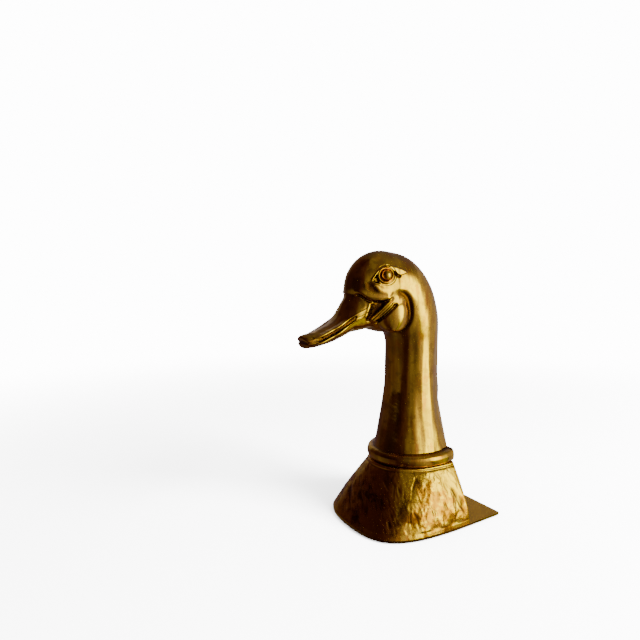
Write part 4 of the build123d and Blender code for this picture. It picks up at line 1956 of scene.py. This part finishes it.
@dataclass
class BackPlate:
    """The flat sheet that closes the casting's open back and narrows up the neck.

    Attributes:
        neck: The neck that it follows above the collar.
        collar: The collar that it follows.
        base: The base that it follows below the collar.
        thick: Thickness of the sheet.
        top: Height of its upper end.
        inset: How far its edges stay inside the castings.
        bevel: Width of the broken edge at the back.
        step: Half the gap between the rows on both sides of a corner of the outline.
        finish: Its finish.
    """

    neck: Neck = Neck()
    collar: Collar = field(default_factory=Collar)
    base: Base = field(default_factory=Base)
    thick: float = 1.6
    top: float = 95.4
    inset: float = 0.8
    bevel: float = 0.3
    step: float = 0.05
    finish: SheetBrass = SheetBrass("back_brass", 0.05, 0.24, (60.0, 400.0, 900.0), 1)

    def half(self, height: float) -> float:
        """Follow the castings' edges.

        Args:
            height: A height in millimetres.

        Returns:
            The sheet's half width there.
        """
        low, high = self.collar.levels
        if height < low:
            foot, shoulder = self.base.levels
            level = (height - foot) / (shoulder - foot)
            return float(self.base.outline(level, 0.0, 3)[0, 0]) - self.inset
        if height > high:
            return float(self.neck.back_half(np.array(height), self.thick)) - self.inset
        outline = np.array(self.collar.profile())
        near = np.abs(outline[:, 1] - height) < 0.8
        out = float(outline[near, 0].max())
        turn = math.asin((self.collar.setback - self.thick) / (self.collar.root[1] + out))
        return (self.collar.root[0] + out) * math.cos(turn) - self.inset

    def build(self) -> None:
        """Cut the sheet and stand it for the CAD node."""
        low, high = self.collar.levels
        levels = np.concatenate([
            np.linspace(self.base.levels[0], low - self.step, 40),
            np.linspace(low + self.step, high - self.step, 24),
            np.linspace(high + self.step, self.top, 60),
        ])
        rows = []
        for height in levels:
            half = self.half(float(height))
            side = [(half, -self.thick), (half, -self.bevel), (half - self.bevel, 0.0)]
            ring = side + [(-x, y) for x, y in side[::-1]]
            rows.append([(x, y, float(height)) for x, y in ring])
        grid = np.array(rows)
        piece = turned_outwards(mesh_piece("back_plate_cut", grid.reshape(-1, 3), swept(grid)), 30.0)
        stand(piece, self.finish.material(), "back_plate")


@dataclass
class FootPlate:
    """The foot plate with its tongue, kept from the CAD model and given its finish."""

    finish: SheetBrass = SheetBrass("sheet_brass", 0.0, 0.36, (900.0, 40.0, 400.0), 2)

    def dress(self) -> None:
        """Finish the plate."""
        plate = frame["nodes"]["foot_plate"]
        material = self.finish.material()
        if not plate.data.materials:
            plate.data.materials.append(material)
        for slot in plate.material_slots:
            slot.material = material
        log.info("foot_plate: dressed")


@dataclass(frozen=True)
class Studio:
    """A pale floor and backdrop, with a tall window to the right and a dim room that the metal mirrors.

    The tables give the room's brightness by bearing: degrees to the camera's right, seen from the
    bookend, with 0 towards the camera.

    Attributes:
        camera_at: The camera's place in metres, with its heading on the floor and its pitch down in degrees.
        lens: Focal length and width of the sensor, in millimetres.
        floor_size: Half width of the floor in metres.
        floor_tones: The floor's two colours.
        floor_fades: Where the lit floor gives way to the pale one, in metres.
        floor_shade: Where the bookend shades the mirrored floor, in metres, and how bright it stays.
        pale: Brightness of the backdrop and the floor.
        fill: Brightness of the even light on the floor, as a share of that.
        dark: Colour of the room's darkest places.
        tints: Brightnesses where the next colour comes in and is full, with that colour.
        sunny: Brightnesses between which the window's light begins to count.
        overhead: Where the walls give way to the ceiling, as the upward share of a direction.
        middle: What the light faces, in metres.
        window_at: The light's bearing in degrees, and its height and distance in metres.
        window_size: Its width and height in metres.
        window_power: Its strength in watts.
        ground: The floor, as the metal mirrors it.
    """

    camera_at: Place = (0.2587, -0.2521, 0.1688)
    heading: Spot = (-0.8625, 0.506)
    pitch: float = 3.49
    lens: Spot = (24.88, 36.0)
    floor_size: float = 4.0
    floor_tones: tuple[Place, Place] = ((0.88, 0.88, 0.88), (0.90, 0.90, 0.90))
    floor_fades: Spot = (0.25, 1.0)
    floor_shade: Place = (0.14, 0.60, 0.10)
    pale: float = 14.0
    backdrop: Place = (0.99, 0.995, 1.0)
    fill: float = 0.42
    dark: Place = (1.0, 0.36, 0.8)
    tints: tuple[tuple[float, float, Place], ...] = (
        (0.02, 0.16, (1.0, 0.93, 1.1)), (0.5, 2.0, (1.0, 1.14, 0.03)),
    )
    sunny: Spot = (0.2, 1.2)
    overhead: Spot = (0.43, 0.60)
    middle: Place = (0.0, -0.03, 0.1)
    window_at: Place = (62.0, 0.75, 1.0)
    window_size: Spot = (0.6, 0.5)
    window_power: float = 190.0
    walls: tuple[Spot, ...] = (
        (-180.0, 0.42), (-168.0, 0.28), (-150.0, 0.20), (-128.0, 0.05), (-90.0, 0.032), (-60.0, 0.018),
        (-45.0, 0.016), (-30.0, 0.025), (-10.0, 0.09), (6.0, 0.24), (20.0, 0.40), (34.0, 0.70), (43.0, 1.5),
        (51.0, 4.4), (70.0, 4.4), (78.0, 1.6), (86.0, 0.55), (120.0, 0.36), (160.0, 0.34), (180.0, 0.42),
    )
    ceiling: tuple[Spot, ...] = (
        (-180.0, 0.13), (-120.0, 0.045), (-60.0, 0.028), (-20.0, 0.06), (20.0, 0.17), (100.0, 0.22),
        (140.0, 0.17), (180.0, 0.13),
    )
    ground: tuple[Spot, ...] = (
        (-180.0, 0.12), (-150.0, 0.08), (-116.0, 0.08), (-95.0, 0.10), (-70.0, 0.13), (-50.0, 0.10),
        (-36.0, 0.040), (-22.0, 0.04), (-8.0, 0.10), (4.0, 0.18), (18.0, 0.32), (34.0, 0.65), (43.0, 1.4),
        (51.0, 4.4), (69.0, 4.4), (77.0, 1.30), (88.0, 0.48), (150.0, 0.38), (180.0, 0.12),
    )

    def camera(self) -> None:
        """Set the camera where the photograph was taken from."""
        data = bpy.data.cameras.new("camera")
        data.lens, data.sensor_width = self.lens
        data.clip_start = 0.01
        camera = bpy.data.objects.new("camera", data)
        dip = math.radians(self.pitch)
        sight = Vector((self.heading[0] * math.cos(dip), self.heading[1] * math.cos(dip), -math.sin(dip)))
        camera.rotation_euler = sight.to_track_quat("-Z", "Y").to_euler()
        camera.location = self.camera_at
        bpy.context.scene.collection.objects.link(camera)
        bpy.context.scene.camera = camera

    def parts(self, tree: Tree, place: Socket) -> Node:
        """Turn a place or a direction so that X runs towards the camera and Y to its right.

        Args:
            tree: The tree of the floor or of the world.
            place: The place or the direction.

        Returns:
            The node that gives the turned X, Y and Z.
        """
        turn = -math.atan2(-self.heading[1], -self.heading[0])
        turned = tree.node("ShaderNodeMapping", Vector=place, Rotation=(0.0, 0.0, turn))
        return tree.node("ShaderNodeSeparateXYZ", turned.outputs[0])

    def tone(self, tree: Tree, parts: Node, table: Sequence[Spot]) -> Socket:
        """Read a table of brightness by bearing.

        Args:
            tree: The tree of the floor or of the world.
            parts: The node that gives the turned place.
            table: Bearings in degrees, rising, and the brightness at each.

        Returns:
            The brightness.
        """
        bearing = tree.math("ARCTAN2", parts.outputs["Y"], parts.outputs["X"])
        share = tree.node("ShaderNodeMapRange", Value=bearing, From_Min=-math.pi, From_Max=math.pi)
        curve = tree.node("ShaderNodeFloatCurve", Value=share.outputs["Result"])
        line = curve.mapping.curves[0]
        top = max(bright for _, bright in table)
        while len(line.points) < len(table):
            line.points.new(0.5, 0.5)
        for point, (turn, bright) in zip(line.points, table):
            point.location = ((turn + 180.0) / 360.0, bright / top)
            point.handle_type = "VECTOR"
        curve.mapping.update()
        return tree.math("MULTIPLY", curve.outputs[0], top)

    def tint(self, tree: Tree, tone: Socket) -> Socket:
        """Colour a brightness: wood brown in the dark, cool in the dim, and warm sun where it is bright.

        Args:
            tree: The tree of the floor or of the world.
            tone: The brightness.

        Returns:
            The colour.
        """
        colour = self.dark
        for low, high, bright in self.tints:
            colour = tree.blend(tree.ramp(tone, low, high), colour, bright)
        return colour

    def floor(self) -> None:
        """Lay the pale floor, which the metal mirrors only as bright as the room lights it."""
        size = self.floor_size
        mesh = bpy.data.meshes.new("floor")
        corners = [(-size, -size, 0.0), (size, -size, 0.0), (size, size, 0.0), (-size, size, 0.0)]
        mesh.from_pydata(corners, [], [(0, 1, 2, 3)])
        floor = placed("floor", mesh)
        paint = Paint("pale_floor")
        colour = paint.blend(paint.cloud(Cloud(3.0)), *self.floor_tones)
        paint.fill(Base_Color=colour, Roughness=0.8, Metallic=0.0, Specular_IOR_Level=0.0)
        tone = self.tone(paint, self.parts(paint, paint.place), self.ground)
        away = paint.node("ShaderNodeVectorMath", paint.place, how=(("operation", "LENGTH"),)).outputs["Value"]
        near, far, least = self.floor_shade
        shade = paint.math("MULTIPLY_ADD", paint.ramp(away, near, far), 1.0 - least, least)
        dim = paint.math("MULTIPLY", paint.ramp(tone, *self.sunny), paint.math("SUBTRACT", 1.0, shade))
        strength = paint.math("MULTIPLY", tone, paint.math("SUBTRACT", 1.0, dim))
        mirrored = paint.node("ShaderNodeEmission", Color=self.tint(paint, tone), Strength=strength)
        pale = paint.node("ShaderNodeEmission", Strength=self.pale)
        seen = paint.mixed(paint.ramp(away, *self.floor_fades), paint.shader, pale)
        glossy = paint.node("ShaderNodeLightPath").outputs["Is Glossy Ray"]
        paint.link(paint.mixed(glossy, seen, mirrored).outputs[0], paint.output.inputs["Surface"])
        paint.material.cycles.emission_sampling = "NONE"
        dress(floor, paint.material)

    def window(self) -> None:
        """Hang the window's soft light, which faces the bookend and isn't itself mirrored."""
        light = bpy.data.lights.new("window", "AREA")
        light.shape = "RECTANGLE"
        light.size, light.size_y = self.window_size
        light.energy = self.window_power
        turn, height, reach = self.window_at
        back = Vector((-self.heading[0], -self.heading[1], 0.0))
        right = Vector((-back.y, back.x, 0.0))
        away = back * math.cos(math.radians(turn)) + right * math.sin(math.radians(turn))
        lamp = bpy.data.objects.new("window", light)
        lamp.location = away * reach + Vector((self.middle[0], self.middle[1], height))
        lamp.rotation_euler = (Vector(self.middle) - lamp.location).to_track_quat("-Z", "Y").to_euler()
        lamp.visible_glossy = False
        bpy.context.scene.collection.objects.link(lamp)

    def room(self) -> None:
        """Give the world a pale backdrop, even light for the floor, and the room that the metal mirrors."""
        world = bpy.data.worlds.new("room")
        world.use_nodes = True
        tree = Tree(world.node_tree)
        tree.tree.nodes.clear()
        path = tree.node("ShaderNodeLightPath").outputs
        parts = self.parts(tree, tree.node("ShaderNodeTexCoord").outputs["Generated"])
        low, high = self.tone(tree, parts, self.walls), self.tone(tree, parts, self.ceiling)
        climb = tree.ramp(parts.outputs["Z"], *self.overhead)
        tone = tree.node("ShaderNodeMix", Factor=climb, A=low, B=high).outputs[0]
        around = tree.node("ShaderNodeBackground", Color=self.tint(tree, tone), Strength=tone)
        backdrop = tree.node("ShaderNodeBackground", Color=(*self.backdrop, 1.0), Strength=self.pale)
        fill = tree.node("ShaderNodeBackground", Strength=self.pale * self.fill)
        glossy = tree.mixed(path["Is Glossy Ray"], fill, around)
        seen = tree.mixed(path["Is Camera Ray"], glossy, backdrop)
        tree.node("ShaderNodeOutputWorld", seen.outputs[0])
        world.cycles.sampling_method = "NONE"
        bpy.context.scene.world = world

    def build(self) -> None:
        """Set up floor, room, lights and camera."""
        self.floor()
        self.room()
        self.window()
        self.camera()


def main() -> None:
    """Build every sub-assembly in order and report each one."""
    logging.basicConfig(level=logging.INFO, format="%(name)s: %(message)s")
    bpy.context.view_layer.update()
    cast = HeadAndNeck().build()
    Eyes().build()
    Lamellae().build(cast.data.materials[0])
    Collar().build()
    Base().build()
    BackPlate().build()
    FootPlate().dress()
    FootScrews().build()
    FeltPad().build()
    Studio().build()


if __name__ == "__main__":
    main()
